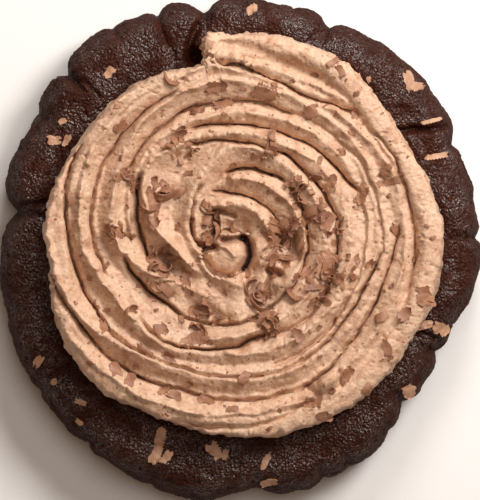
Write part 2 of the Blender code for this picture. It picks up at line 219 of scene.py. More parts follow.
# Grooves where one lap of the piping lies against the next: (depth, (turned angle, radius) knots)
GROOVES = [
    (2.0, [(250, 42.0), (262, 41.1), (272, 40.8), (280, 40.2), (293, 38.6), (310, 38.9), (330, 38.6),
           (360, 38.2), (380, 37.9), (392, 38.1), (402, 37.2)]),
    (3.6, [(406, 37.6), (415, 36.0), (420, 35.0), (425, 34.7), (430, 34.8), (435, 35.3), (440, 36.0),
           (445, 37.0), (452, 38.3), (460, 38.9)]),
    (3.4, [(186, 42.6), (195, 41.6), (205, 39.8), (221, 38.6), (235, 37.0), (250, 35.4), (270, 35.1),
           (295, 34.8), (304, 34.1), (323, 32.8), (334, 32.6), (352, 33.3), (366, 34.7)]),
    (3.6, [(148, 40.5), (158, 40.1), (172, 38.6), (188, 36.8), (205, 35.2), (215, 34.6), (228, 32.9),
           (240, 31.3), (250, 30.5), (270, 30.0), (300, 29.7), (322, 29.0), (337, 29.1), (348, 30.2),
           (360, 30.9), (385, 31.0), (410, 30.5), (430, 29.8), (450, 30.1), (472, 30.7), (490, 30.1),
           (502, 29.2), (512, 28.4)]),
    (2.6, [(112, 35.3), (137, 34.6), (150, 34.4), (162, 33.6), (172, 33.0), (181, 32.0), (189, 30.8),
           (196, 29.9)]),
    (3.8, [(284, 28.1), (300, 27.8), (315, 27.4), (330, 26.9), (350, 26.9), (372, 27.7), (382, 27.8),
           (389, 26.8), (400, 26.4), (420, 25.3), (432, 25.0), (450, 25.3), (460, 25.8), (475, 26.6)]),
    (4.2, [(146, 26.0), (150, 25.6), (160, 24.2), (170, 22.6), (178, 21.4), (194, 20.2)]),
    (4.0, [(218, 27.9), (230, 27.6), (238, 27.2), (246, 26.2), (252, 25.5), (260, 24.4), (268, 23.4),
           (277, 21.8), (288, 21.6), (303, 22.5), (315, 22.4), (335, 21.8), (355, 21.5), (370, 21.7),
           (377, 21.5), (385, 20.8), (395, 20.9), (405, 20.4), (422, 21.0), (432, 20.6), (448, 21.0),
           (458, 21.8), (472, 23.1), (480, 24.2)]),
    (4.4, [(187, 25.4), (198, 24.8), (204, 23.6), (210, 22.8), (224, 21.3), (240, 20.4), (250, 19.8),
           (266, 18.4), (288, 16.6), (301, 15.8), (314, 15.2), (330, 15.1), (370, 14.9), (388, 15.2),
           (418, 15.8), (435, 15.8), (448, 15.5), (464, 15.0)]),
    (3.4, [(350, 9.0), (390, 9.4), (420, 9.2), (435, 9.4), (448, 9.8), (460, 10.2), (470, 11.2),
           (480, 12.1)]),
    (2.6, [(124, 14.4), (135, 13.4), (145, 12.4), (155, 11.8), (165, 11.2), (175, 10.2), (190, 8.8)])]
# where neighbouring laps have run together: (groove, from, to, how nearly closed)
CLOSED = [(0, 268, 290, 0.45), (0, 292, 344, 0.85), (0, 388, 402, 0.4), (2, 238, 294, 0.5),
          (3, 212, 298, 0.6), (3, 352, 430, 0.85), (3, 432, 466, 0.5), (5, 284, 330, 0.6),
          (5, 330, 384, 0.9), (7, 218, 236, 0.5), (7, 286, 322, 0.5), (7, 430, 446, 0.4),
          (8, 226, 310, 0.5), (8, 388, 416, 0.75)]
# where the laps have slumped flat, and by what share
SLUMP_TURN = 8.0
SLUMP_SPREAD = 36.0
SLUMP_RADIUS = 27.6
SLUMP_WIDTH = 4.6
SLUMP_SHARE = 0.65
# the round bud at the heart, from the swirl's middle: a dome with a steep side
BUD_X = -2.9
BUD_Y = -3.0
BUD_RADIUS = 4.4
BUD_H = 8.0
BUD_DOME = 1.6
BUD_SIDE = 8.0
# torn lumps at the tail's end, domes with steep sides: (x, y, radius)
TORN_KNOBS = [(-5.9, 46.3, 1.7), (-7.9, 45.0, 0.8), (-6.9, 43.4, 1.1), (-4.6, 43.2, 1.2),
              (-2.6, 42.6, 1.1), (-6.7, 40.8, 1.3), (-0.6, 41.9, 1.0), (1.4, 41.0, 0.9),
              (3.2, 40.6, 0.8), (-4.4, 41.2, 0.9)]
KNOB_H = 10.4
KNOB_DOME = 1.5
KNOB_SIDE = 6.0
# thin folds (lift up) and gaps (lift down) round the heart: (half width, lift, points)
FOLDS = [(0.32, 2.4, [(-4.4, 7.8), (-4.3, 3.5)]), (0.32, 2.6, [(-4.2, 3.4), (1.7, 3.5)]),
         (0.70, -5.0, [(-5.7, 8.1), (-5.3, 4.4)]), (0.50, -4.0, [(-4.4, 8.5), (-1.4, 7.6)]),
         (0.65, -5.0, [(-3.6, 2.4), (1.0, 2.5)]), (1.60, -1.6, [(-2.6, 5.4), (0.0, 5.0)]),
         (0.75, -6.5, [(0.8, 2.8), (1.9, 1.2), (2.1, -1.3), (0.9, -3.9)]),
         (0.50, -3.0, [(0.9, -3.9), (-1.8, -5.6), (-5.2, -4.8), (-7.2, -2.4)]),
         (0.80, -4.5, [(-9.0, 1.2), (-5.8, 0.6)]), (0.55, -3.5, [(-10.9, 6.4), (-10.6, 3.6)]),
         (3.60, -3.0, [(9.2, 2.4), (11.4, -1.8)]), (1.10, -2.4, [(11.0, 3.4), (12.6, -1.6)]),
         (2.20, -2.2, [(3.6, -5.0), (1.4, -8.6)]), (0.75, -4.5, [(6.6, -4.5), (8.6, -5.6)]),
         (0.55, -3.5, [(5.6, -8.0), (6.8, -5.8)]), (1.90, 2.4, [(8.4, -7.2), (11.6, -5.4)]),
         (0.60, 0.9, [(-5.5, 9.6), (-0.5, 9.8), (3.6, 8.2), (6.4, 4.6), (7.0, 1.0)]),
         (2.40, -2.2, [(-16.4, -3.2), (-10.8, -8.6)]), (2.20, -2.0, [(-9.4, -13.6), (-3.2, -16.0)]),
         (1.50, -1.7, [(-3.4, 45.0), (3.5, 43.7), (10.5, 41.2), (17.0, 38.0)]),
         (2.00, 2.6, [(18.4, -29.0), (19.8, -28.6)]), (0.50, -1.8, [(14.6, -29.8), (16.6, -31.4)]),
         (0.45, -1.8, [(21.5, -26.6), (22.4, -29.4)]),
         (0.35, 0.8, [(-7.9, -1.3), (-4.8, 0.9), (-3.1, 0.4), (-1.3, -1.3)])]
# how the ridges and grooves stray, and the surface's unevenness: (height, size, seed)
RIDGE_SWAY = [(0.30, 7.0, 91), (0.20, 2.6, 92)]
GROOVE_STRAY = [(0.22, 2.8, 95), (0.10, 1.1, 96)]
SWIRL_UNEVEN = [(0.5, 11.0, 93)]
SOFT_DENTS = [(0.34, 5.5, 84), (0.15, 2.4, 85), (0.16, 0.9, 86)]
# drag lines along the piping: (height, width, length, seed)
DRAG_LINES = [(0.07, 0.6, 9.0, 81), (0.16, 1.5, 18.0, 82)]
# the torn crest: its width, how ragged it is, and how much of it stands up in longer tears
CREST_WIDTH = 0.5
CREST_TEAR = 0.40
CREST_BREAK = 0.5
# burst air bubbles: (depth, size, softness of edge, seed)
BUBBLES = (0.5, 0.8, 0.14, 87)
# mesh: quads from the middle to the edge; the last stretch to the edge, where rings are drawn
# together; the radius from which they follow the outline; how close spokes crowd at the tail
SWIRL_GRID = 146
STEEP = 3.0
SETTLED = 31.0
TAIL_CROWD = 6.0

# ---- shavings ----------------------------------------------------------------------------
# broken pieces on the bare rim: (x, y, length, width, heading, curl, teeth)
RIM_SHAVINGS = [(-17.6, -42.4, 8.0, 2.2, 82, 20, 8), (-18.6, -45.0, 4.0, 2.0, 70, 20, 0),
                (-16.2, -45.6, 3.4, 1.6, 60, 20, 0), (-5.5, -44.0, 4.2, 2.8, 120, 20, 4),
                (-3.4, -45.0, 2.4, 1.4, 60, 30, 0), (-28.6, 38.9, 2.8, 1.9, 60, 10, 0),
                (37.0, 37.0, 4.4, 2.4, 120, 40, 0), (38.9, 35.8, 2.6, 1.8, 20, 60, 0),
                (42.9, 20.5, 5.2, 1.3, 5, 20, 6), (41.8, 28.2, 4.6, 0.9, 12, 10, 5),
                (-40.7, 24.0, 3.0, 2.0, 0, 30, 0), (-38.1, 23.8, 2.6, 1.4, 70, 40, 0),
                (37.0, -31.0, 3.0, 2.6, 100, 10, 0), (5.5, -46.6, 3.8, 1.3, 70, 20, 0),
                (6.2, -51.0, 3.4, 1.8, 10, 10, 0), (44.0, -17.2, 4.2, 2.6, 160, 30, 0),
                (40.2, -16.6, 3.6, 1.8, 20, 60, 0), (-44.4, -24.6, 2.6, 1.7, 60, 10, 0),
                (-40.9, -29.0, 1.4, 1.3, 40, 10, 0), (-34.8, -33.4, 2.6, 1.2, 160, 10, 0),
                (-35.2, -37.8, 2.0, 1.0, 140, 10, 0), (2.6, 52.8, 2.8, 1.7, 30, 10, 0),
                (-39.1, 28.2, 1.8, 1.2, 20, 20, 0), (25.6, 37.8, 1.6, 1.2, 30, 10, 0),
                (28.2, 37.4, 1.4, 1.0, 70, 10, 0)]
# the larger pieces on the swirl: (x, y, length, width, heading, curl in degrees, teeth)
SWIRL_SHAVINGS = [
    (-5.3, 35.6, 4.0, 2.6, 10, 40, 0), (5.7, 34.5, 5.2, 3.6, 150, 60, 5),
    (-13.4, 24.6, 4.2, 2.6, 50, 90, 4), (-16.7, 12.5, 4.6, 2.8, 20, 120, 6),
    (-6.6, 4.0, 4.0, 3.0, 70, 100, 6), (7.0, 24.6, 5.6, 1.5, 80, 80, 8),
    (33.0, 15.0, 6.0, 1.6, 16, 30, 9), (26.6, 11.9, 4.6, 2.4, 75, 40, 0),
    (9.9, 5.1, 5.4, 3.2, 60, 70, 7), (16.9, 7.5, 4.6, 3.2, 130, 50, 5),
    (-24.6, -13.2, 3.8, 2.4, 30, 90, 4), (-9.7, -19.6, 6.4, 3.0, 25, 40, 0),
    (-27.3, -26.2, 3.2, 2.4, 110, 20, 0), (18.9, -2.2, 4.6, 4.2, 40, 30, 4),
    (11.7, -10.1, 4.2, 2.4, 150, 90, 4), (0.9, -28.2, 3.8, 2.2, 60, 60, 0),
    (40.3, -10.1, 4.2, 3.8, 90, 30, 0), (25.1, 29.7, 3.4, 1.8, 95, 120, 0),
    (36.1, -14.1, 3.2, 2.2, 45, 70, 0), (16.3, -33.4, 3.8, 2.4, 160, 40, 0),
    (-15.4, 37.0, 4.6, 1.8, 140, 120, 4), (15.4, 30.1, 3.2, 2.6, 20, 50, 0),
    (31.9, 17.4, 3.0, 2.0, 60, 30, 0), (-24.0, -28.3, 3.0, 2.2, 60, 20, 0),
    (-3.5, 31.9, 4.2, 2.0, 20, 60, 3), (22.0, 39.1, 3.0, 1.4, 120, 60, 0),
    (20.0, 40.9, 3.2, 1.4, 20, 60, 0), (20.0, 14.5, 4.2, 2.0, 60, 50, 3),
    (13.6, 14.5, 3.4, 1.8, 30, 140, 4), (31.9, 17.4, 2.6, 1.6, 50, 30, 0),
    (33.9, 4.4, 3.0, 2.0, 120, 30, 0), (-26.2, 27.1, 3.0, 2.0, 30, 50, 0),
    (-36.9, 11.0, 3.0, 1.6, 80, 60, 0), (-31.9, -12.8, 3.2, 2.2, 40, 30, 0),
    (-29.7, -16.9, 3.4, 1.8, 100, 90, 0), (-17.2, -17.4, 3.0, 2.4, 20, 60, 3),
    (-20.5, -22.2, 4.0, 2.0, 130, 50, 0), (-15.4, -23.3, 3.6, 2.0, 150, 40, 0),
    (-16.7, -30.8, 3.0, 1.8, 20, 40, 3), (-14.1, -31.7, 3.2, 1.8, 150, 60, 0),
    (-7.3, -32.8, 3.4, 2.2, 160, 40, 0), (6.2, -15.8, 3.8, 2.2, 60, 80, 4),
    (13.0, -18.9, 3.2, 2.2, 120, 60, 3), (28.6, -2.9, 3.0, 2.0, 60, 40, 0),
    (38.5, -1.3, 3.2, 1.6, 80, 50, 0), (31.0, -14.7, 3.0, 2.0, 20, 80, 0),
    (23.3, -27.3, 3.4, 2.2, 60, 60, 0), (32.1, -21.6, 3.4, 1.8, 110, 50, 0),
    (18.5, -36.5, 3.6, 2.4, 170, 20, 0), (27.9, -30.4, 2.8, 1.8, 60, 50, 0),
    (-1.7, -34.9, 2.2, 1.6, 30, 20, 0), (3.3, -10.1, 3.2, 1.8, 60, 150, 3),
    (-1.8, 5.1, 3.2, 1.8, 110, 140, 4), (-22.0, 5.7, 2.6, 2.0, 30, 60, 3)]
# heaps where fine curls have caught: (x, y, radius, how many)
HEAPS = [(-15.6, -4.0, 4.4, 34), (-7.7, -15.0, 2.6, 16), (17.2, -8.1, 3.4, 22), (-26.4, 4.4, 2.2, 12),
         (-16.7, 12.5, 2.8, 14), (-7.0, 7.4, 2.6, 12), (14.0, 11.0, 4.4, 30), (7.0, 22.0, 2.4, 10),
         (20.9, -4.6, 2.8, 14), (5.8, -17.2, 2.8, 12), (-13.2, 22.6, 2.6, 10), (9.9, 1.6, 3.4, 26),
         (-7.4, 2.4, 2.2, 10), (9.6, -3.6, 2.6, 14), (3.4, -10.6, 2.4, 12), (18.6, 3.4, 2.6, 12),
         (6.6, -14.6, 2.2, 8), (-19.6, 8.4, 2.2, 8), (-8.6, 30.4, 1.8, 6), (-24.6, 15.4, 2.0, 8)]
SMALL_SHAVINGS = 190
SMALL_APART = 1.6
SPECKS = 420
SCATTER_SEED = 23
# one shaving: thickness at no width, depth of its teeth as a share of half its width, least curl
# and most twist in degrees, and its mesh
SHAVING_THICK = 0.13
TOOTH = 0.34
LEAST_CURL = 6.0
MOST_TWIST = 40.0
SHAVING_STEP = 0.34
SHAVING_ACROSS = 4
# the share that lie face down, and the lean of toothed, strongly curled ones that stand on edge
FACE_DOWN = 0.3
ON_EDGE = 62.0
# how a shaving settles: searched for from this height, kept this far off the surface, bent at
# most so far to follow it and lifted at most so far out of it
DROP_FROM = 80.0
PRESS_GAP = 0.10
MOST_BEND = 0.7
MOST_LIFT = 1.6

# ---- colours -----------------------------------------------------------------------------
BUTTERCREAM_DEEP = "#D0A689"
BUTTERCREAM_PALE = "#DEBDA0"
BUTTERCREAM_GRAIN_DEEP = "#BD9073"
BUTTERCREAM_GRAIN_PALE = "#E1C0A1"
COCOA_DEEP = "#280C06"
COCOA_WARM = "#3C180C"
COCOA_GRAIN_DEEP = "#200A05"
COCOA_GRAIN_PALE = "#4E2A1C"
GRATED_DOT = "#A07A62"
COCOA_STAIN = "#C29A7E"
UNTINTED = "#FFFFFF"
# milk chocolate, dark and light: broken pieces on the rim, scraped ones on the swirl, and dust
BROKEN_CHOCOLATE = ("#9A6E52", "#C89E7E")
SCRAPED_CHOCOLATE = ("#7F523B", "#AC7C5E")
CHOCOLATE_DUST = ("#7A5240", "#A67B64")
PAPER = "#F6F5F3"

# ---- studio, in metres -------------------------------------------------------------------
# soft lamps: (name, place, size across, power, colour)
LAMPS = [("window", (0.30, 0.27, 0.44), 0.22, 2.68, "#FFFBF8"),
         ("overhead", (0.10, 0.14, 0.95), 0.5, 2.1, "#FFFAF6"),
         ("far window", (0.08, 0.42, 0.34), 0.17, 1.35, "#FFFBF8")]
ROOM_COLOUR = "#F0C29C"
ROOM_STRENGTH = 0.168
FLOOR_HALF = 0.9
# the camera is straight above and takes in this height of the scene at this level
CAMERA_HEIGHT = 2.6
FRAMED_HEIGHT = 0.110
FRAMED_LEVEL = 0.010
# width of its sensor, in millimetres
SENSOR = 36.0


# ---- shape functions ---------------------------------------------------------------------
def smooth(t):
    """Ease from 0 to 1 as t goes from 0 to 1."""
    t = np.clip(t, 0.0, 1.0)
    return t * t * (3.0 - 2.0 * t)


def curve(knots, q):
    """Monotone cubic through (angle, value) knots."""
    x = np.array([k[0] for k in knots], float)
    y = np.array([k[1] for k in knots], float)
    h = np.diff(x)
    d = np.diff(y) / h
    m = np.zeros_like(x)
    m[0], m[-1] = d[0], d[-1]
    same = d[:-1] * d[1:] > 0
    w1 = 2 * h[1:] + h[:-1]
    w2 = h[1:] + 2 * h[:-1]
    safe0 = np.where(same, d[:-1], 1.0)
    safe1 = np.where(same, d[1:], 1.0)
    m[1:-1] = np.where(same, (w1 + w2) / (w1 / safe0 + w2 / safe1), 0.0)
    i = np.clip(np.searchsorted(x, q, side="right") - 1, 0, len(h) - 1)
    t = (q - x[i]) / h[i]
    return (y[i] * (1 + 2 * t) * (1 - t) ** 2 + m[i] * h[i] * t * (1 - t) ** 2
            + y[i + 1] * t * t * (3 - 2 * t) - m[i + 1] * h[i] * t * t * (1 - t))


def around(knots, turn):
    """The same curve closed over a full turn."""
    before = [(angle - 360, value) for angle, value in knots[-3:]]
    after = [(angle + 360, value) for angle, value in knots[:3]]
    return curve(before + list(knots) + after, (turn - knots[0][0]) % 360 + knots[0][0])


def beside(turn, angle):
    """Degrees from an angle, between -180 and 180."""
    return (turn - angle + 180) % 360 - 180


def polar(x, y):
    """Radius and turn about the swirl's own middle."""
    return np.hypot(x, y - SWIRL_Y), np.degrees(np.arctan2(y - SWIRL_Y, x)) % 360


def scramble(i, j, k, seed):
    """A fixed value from 0 to 1 for every lattice point; the large odd numbers mix its bits."""
    h = (i.astype(np.uint32) * np.uint32(374761393) + j.astype(np.uint32) * np.uint32(668265263)
         + k.astype(np.uint32) * np.uint32(2246822519) + np.uint32(seed * 3266489 + 97))
    h = (h ^ (h >> np.uint32(13))) * np.uint32(1274126177)
    h = (h ^ (h >> np.uint32(16))) * np.uint32(2654435761)
    h = h ^ (h >> np.uint32(15))
    return h.astype(np.float64) / 4294967295.0


def lattice(x, y, z, size):
    """Coordinates in steps of a lattice, all positive, and the lattice point below each."""
    p = [np.asarray(v, float) / size + LATTICE_SHIFT for v in (x, y, z)]
    return p, [np.floor(v).astype(np.int64) for v in p]


def lumps(x, y, z, size, seed):
    """Smooth lumps of about the given size, between -1 and 1."""
    p, base = lattice(x, y, z, size)
    f = [smooth(v - b) for v, b in zip(p, base)]
    total = 0.0
    for i in (0, 1):
        for j in (0, 1):
            for k in (0, 1):
                corner = scramble(base[0] + i, base[1] + j, base[2] + k, seed) * 2.0 - 1.0
                total = total + (corner * (f[0] if i else 1 - f[0]) * (f[1] if j else 1 - f[1])
                                 * (f[2] if k else 1 - f[2]))
    return total


def layered(layers, x, y, z):
    """Lumps of several sizes added up: each layer is (height, size, seed)."""
    return sum(height * lumps(x, y, z, size, seed) for height, size, seed in layers)


def holes(x, y, z, depth, size, edge, seed):
    """Scattered open holes, with edges of the given softness."""
    return -depth * smooth((lumps(x, y, z, size, seed) - HOLE_LEVEL) / edge)


def cells(x, y, z, size, seed):
    """Distances to the nearest and second nearest of scattered points, in units of their spacing."""
    p, base = lattice(x, y, z, size)
    first = np.full(p[0].shape, np.inf)
    second = np.full(p[0].shape, np.inf)
    for i in (-1, 0, 1):
        for j in (-1, 0, 1):
            for k in (-1, 0, 1):
                a, b, c = base[0] + i, base[1] + j, base[2] + k
                d = np.sqrt((a + scramble(a, b, c, seed) - p[0]) ** 2
                            + (b + scramble(a, b, c, seed + 1) - p[1]) ** 2
                            + (c + scramble(a, b, c, seed + 2) - p[2]) ** 2)
                second = np.minimum(second, np.maximum(first, d))
                first = np.minimum(first, d)
    return first, second


def along_lines(lines, x, y):
    """Summed lift of soft-sided lines: each is (half width, lift, points)."""
    total = np.zeros_like(x)
    for half, lift, points in lines:
        near = np.full(x.shape, np.inf)
        for (x0, y0), (x1, y1) in zip(points[:-1], points[1:]):
            dx, dy = x1 - x0, y1 - y0
            t = np.clip(((x - x0) * dx + (y - y0) * dy) / (dx * dx + dy * dy), 0, 1)
            near = np.minimum(near, np.hypot(x - x0 - t * dx, y - y0 - t * dy))
        total = total + lift * np.exp(-(near / half) ** 2)
    return total


def rim_radius(turn):
    """Radius of the cookie's rim, with its lobes and notches."""
    r = around(LOBES, turn)
    for angle, depth, width, _ in NOTCHES:
        r = r - depth * np.exp(-(np.abs(beside(turn, angle)) / width) ** NOTCH_POWER)
    return r


def past_swirl(x, y):
    """How far a point lies outside the swirl's edge; negative under it."""
    r, turn = polar(x, y)
    return r - around(FROSTING_EDGE, turn)


def laps(line, turn):
    """Every lap of a spiral line: turned angle of the points, and the same held to its ends."""
    start, stop = line[0][0], line[-1][0]
    for lap in range(int(start // 360), int(stop // 360) + 1):
        raw = turn + 360 * lap
        yield raw, np.clip(raw, start, stop)


def still_open(number, raw):
    """How open a groove is along its run: 1, or less where its two laps have run together."""
    left = 1.0
    for shut, first, last, share in CLOSED:
        if shut == number:
            left = left * (1 - share * smooth((raw - first) / CLOSING + 0.5)
                           * smooth((last - raw) / CLOSING + 0.5))
    return left


def groove_depth(r, turn):
    """Depth of the grooves, and how far their walls lean out under the lap that hangs over them."""
    total = np.zeros_like(r)
    lean = np.zeros_like(r)
    for number, (depth, line) in enumerate(GROOVES):
        start, stop = line[0][0], line[-1][0]
        for raw, q in laps(line, turn):
            centre = curve(line, q)
            drift = curve(line, np.minimum(q + 1, stop)) - curve(line, np.maximum(q - 1, start))
            slope = drift / (np.radians(2) * centre)
            off = (r - centre) / np.sqrt(1 + slope ** 2)
            fade = smooth((raw - start) / GROOVE_FADE + 0.2) * smooth((stop - raw) / GROOVE_FADE + 0.2)
            fade = np.where(np.abs(raw - q) < GROOVE_END, fade, 0.0) * still_open(number, raw)
            slot = np.exp(-(np.abs(off) / np.where(off > 0, GROOVE_OUTER, GROOVE_INNER)) ** 2)
            soft = np.exp(-np.abs(off) / np.where(off > 0, SHOULDER_OUTER, GROOVE_INNER))
            cut = slot * (1 - SHOULDER_SHARE) + SHOULDER_SHARE * soft
            total = np.maximum(total, depth * fade * cut)
            over = np.exp(-((off - OVERLAP_AT) / OVERLAP_WIDTH) ** 2)
            shift = fade * (UNDERCUT * slot ** 2 - OVERLAP * over)
            lean = np.where(np.abs(shift) > np.abs(lean), shift, lean)
    return total, lean


def raise_ridges(r, turn, ridge, sway, steep):
    """Raise the star tip's ridges over a first height.

    Returns the height, the distance across the ridge that shows, and the run along it."""
    lane = np.full(r.shape, FAR)
    run = turn * LOOSE_RUN
    for number, rib in enumerate(RIBS.values()):
        line = rib["line"]
        start, stop = line[0][0], line[-1][0]
        for raw, q in laps(line, turn):
            crest = curve(line, q)
            ahead = np.minimum(q + 2, stop)
            back = np.maximum(q - 2, start)
            step = np.radians(np.maximum(ahead - back, 0.001)) * np.maximum(crest, 2.0)
            slope = (curve(line, ahead) - curve(line, back)) / step
            across = (r - crest) / np.sqrt(1 + slope ** 2) + sway
            beyond = np.radians(np.abs(raw - q)) * crest
            off = np.hypot(across / np.where(across > 0, rib["out"], rib["inn"]), beyond / RIDGE_END)
            off = np.hypot(off, CREST_ROUND) - CREST_ROUND
            grow = smooth((q - start) / rib["rise"])
            if rib["fall"]:
                grow = grow * smooth((stop - q) / rib["fall"])
            lift = (rib["top"] - BODY_H) * grow * steep * np.clip(1 - off, 0, 1) ** FLANK_POWER
            lift = np.where(np.abs(raw - q) < RIDGE_REACH, lift, 0.0)
            lane = np.where(lift > ridge, across, lane)
            run = np.where(lift > ridge, np.radians(raw) * MEAN_LAP + RUN_APART * number, run)
            ridge = np.maximum(ridge, lift)
    return ridge, lane, run


def swirl_surface(x, y):
    """Height of the swirl above its bed, place across and along its nearest ridge, and lean."""
    flat = 0 * x
    r, turn = polar(x, y)
    inset = around(FROSTING_EDGE, turn) - r
    lip = (LIP_RISE + LIP_SLOPE * np.clip(inset, 0, LIP_WIDTH)) * smooth((LIP_END - inset) / LIP_WIDTH)
    steep = RIDGE_SHARE - RIDGE_SWING * np.cos(np.radians(turn - LOWEST_AT))
    off_turn = beside(turn, SLUMP_TURN) / SLUMP_SPREAD
    off_radius = (r - SLUMP_RADIUS) / SLUMP_WIDTH
    steep = steep * (1 - SLUMP_SHARE * np.exp(-off_turn ** 2 - off_radius ** 2))
    ridge, lane, run = raise_ridges(r, turn, lip, layered(RIDGE_SWAY, x, y, flat), steep)
    z = BODY_H - HOLLOW * np.exp(-(r / HOLLOW_WIDTH) ** 2) + ridge + layered(SWIRL_UNEVEN, x, y, flat)
    bud = np.hypot(x - BUD_X, y - SWIRL_Y - BUD_Y) / BUD_RADIUS
    z = np.where(bud < 1.25, BUD_H - BUD_DOME * bud ** 2 - BUD_SIDE * np.maximum(bud - 1, 0), z)
    sunk, lean = groove_depth(r + layered(GROOVE_STRAY, x, y, flat), turn)
    uneven = 0.85 + 0.3 * lumps(x, y, flat, 6.0, 97)
    z = z - np.minimum(GROOVE_DEEPER * sunk * uneven, BODY_H - GROOVE_FLOOR)
    for knob_x, knob_y, size in TORN_KNOBS:
        d = np.hypot(x - knob_x, y - knob_y) / size
        z = np.maximum(z, KNOB_H - KNOB_DOME * size * d ** 2 - KNOB_SIDE * np.maximum(d - 1, 0))
    z = z + along_lines(FOLDS, x, y)
    at_tail = (r > TAIL_IN) & (np.abs(turn - TAIL_END) < TAIL_REACH)
    tail = np.where(at_tail, np.radians(TAIL_END - turn) * r, FAR)
    inset = np.minimum(inset, np.maximum(tail, -0.2) + 0.6)
    rounding = 1 - (1 - np.clip(inset / WALL_ROUND, 0, 1)) ** 2
    wall = WALL_FOOT + WALL_RISE * np.sqrt(np.clip(rounding, 0, 1))
    wall = wall + 2 * np.maximum(inset - WALL_ROUND, 0)
    # the lower of the two heights, blended where they are within a millimetre of each other
    share = np.clip(0.5 + 0.5 * (wall - z), 0, 1)
    return z * share + wall * (1 - share) - share * (1 - share), lane, run, lean * share


def swirl_texture(x, y, z, lane, run):
    """Drag lines along the piping, a torn crest, soft dents and burst air bubbles."""
    flat = 0 * x
    drag = sum(height * lumps(lane / width, run / length, flat, 1.0, seed)
               for height, width, length, seed in DRAG_LINES)
    crest = np.exp(-(lane / CREST_WIDTH) ** 2)
    torn = CREST_TEAR * crest * (0.3 + 0.7 * lumps(run / 0.9, lane / 2.0, flat, 1.0, 83))
    torn = torn + CREST_BREAK * crest * smooth((lumps(run / 3.5, flat, flat, 1.0, 88) - 0.1) / 0.5)
    return drag + torn + layered(SOFT_DENTS, x, y, z) + holes(x, y, z, *BUBBLES)


# ---- meshes ------------------------------------------------------------------------------
def piece_from(name, points, faces, smooth_shaded=True):
    """A mesh object from points in millimetres."""
    mesh = bpy.data.meshes.new(name)
    mesh.from_pydata((np.asarray(points) * MM).tolist(), [], faces)
    mesh.update()
    if smooth_shaded:
        mesh.polygons.foreach_set("use_smooth", np.ones(len(mesh.polygons), bool))
    obj = bpy.data.objects.new(name, mesh)
    bpy.context.scene.collection.objects.link(obj)
    return obj


def band_faces(rows, columns):
    """Quads between rows of points, each row a closed ring."""
    i = np.arange(columns)
    j = (i + 1) % columns
    faces = []
    for a in range(rows - 1):
        low, high = a * columns, (a + 1) * columns
        faces += np.stack([low + i, low + j, high + j, high + i], axis=1).tolist()
    return faces


def crumb_relief(x, y, z):
    """Relief of a baked chocolate crumb: grains with fine gaps between, open pores and grit."""
    first, second = cells(x, y, z, GRAIN_SIZE, 31)
    grains = GRAIN_RELIEF * (0.6 - first) - GRAIN_GAP * np.exp(-(second - first) / 0.09)
    return grains + holes(x, y, z, *CRUMB_PORES) + layered(CRUMB_GRIT, x, y, z)


def cookie_stations():
    """Rings of the cookie from base to middle: inset, height, outward share, upward share."""
    stations = [(inset, 0.0, 0.0, 0.0) for inset in BASE_INSETS]
    for a in np.radians(np.linspace(0, 90, FOOT_RINGS)):
        stations.append((FOOT_IN * (1 - math.sin(a)), WAIST_H * (1 - math.cos(a)), math.sin(a), 0.0))
    for a in np.radians(np.linspace(0, 90, SHOULDER_RINGS)[1:]):
        inset = SHOULDER * (1 - math.cos(a) ** (2 / SHOULDER_FULL))
        height = WAIST_H + (COOKIE_H - WAIST_H) * math.sin(a) ** (2 / SHOULDER_FULL)
        stations.append((inset, height, math.cos(a), math.sin(a)))
    for inset in np.arange(SHOULDER + RING_STEP, CRUMB_END, RING_STEP):
        stations.append((inset, COOKIE_H, 0.0, 1.0))
    return stations + [(inset, COOKIE_H, 0.0, 0.0) for inset in COVERED_INSETS]


def notch_cut(turn, radius, inset, height):
    """How deep the notches between the lobes cut into one ring."""
    cut = np.zeros_like(turn)
    for number, (angle, depth, width, length) in enumerate(NOTCHES):
        wander = NOTCH_WANDER * lumps(radius, np.full_like(turn, number * 9.0), 0 * turn, 2.2, 71)
        off = np.abs(beside(turn + wander * (inset > 1), angle)) / (NOTCH_NARROW * width)
        fade = 1 - smooth(np.full_like(turn, (inset - 0.3 * length) / (0.7 * length)))
        cut = cut + 0.5 * depth * np.exp(-off ** NOTCH_POWER) * fade * (height > WAIST_H - 1)
    return cut


def cookie_bump(x, y, z, radius, turn, height, upward):
    """Uneven dough, wrinkles on the top, crumb, and splits down the side."""
    bump = layered(COOKIE_UNEVEN, x, y, z)
    wrinkle = WRINKLE * lumps(radius / 1.4, turn * 0.15, 0 * x, 1.0, 57) * (height > WAIST_H)
    first, second = cells(x, y, z * 1.5, SPLIT_APART, 34)
    here = smooth((lumps(x, y, z, 9.0, 35) + 0.1) / 0.4)
    split = -SPLIT_DEPTH * np.exp(-((second - first) / SPLIT_WIDTH) ** 2) * here
    return bump + wrinkle + crumb_relief(x, y, z) + split * (1 - upward)


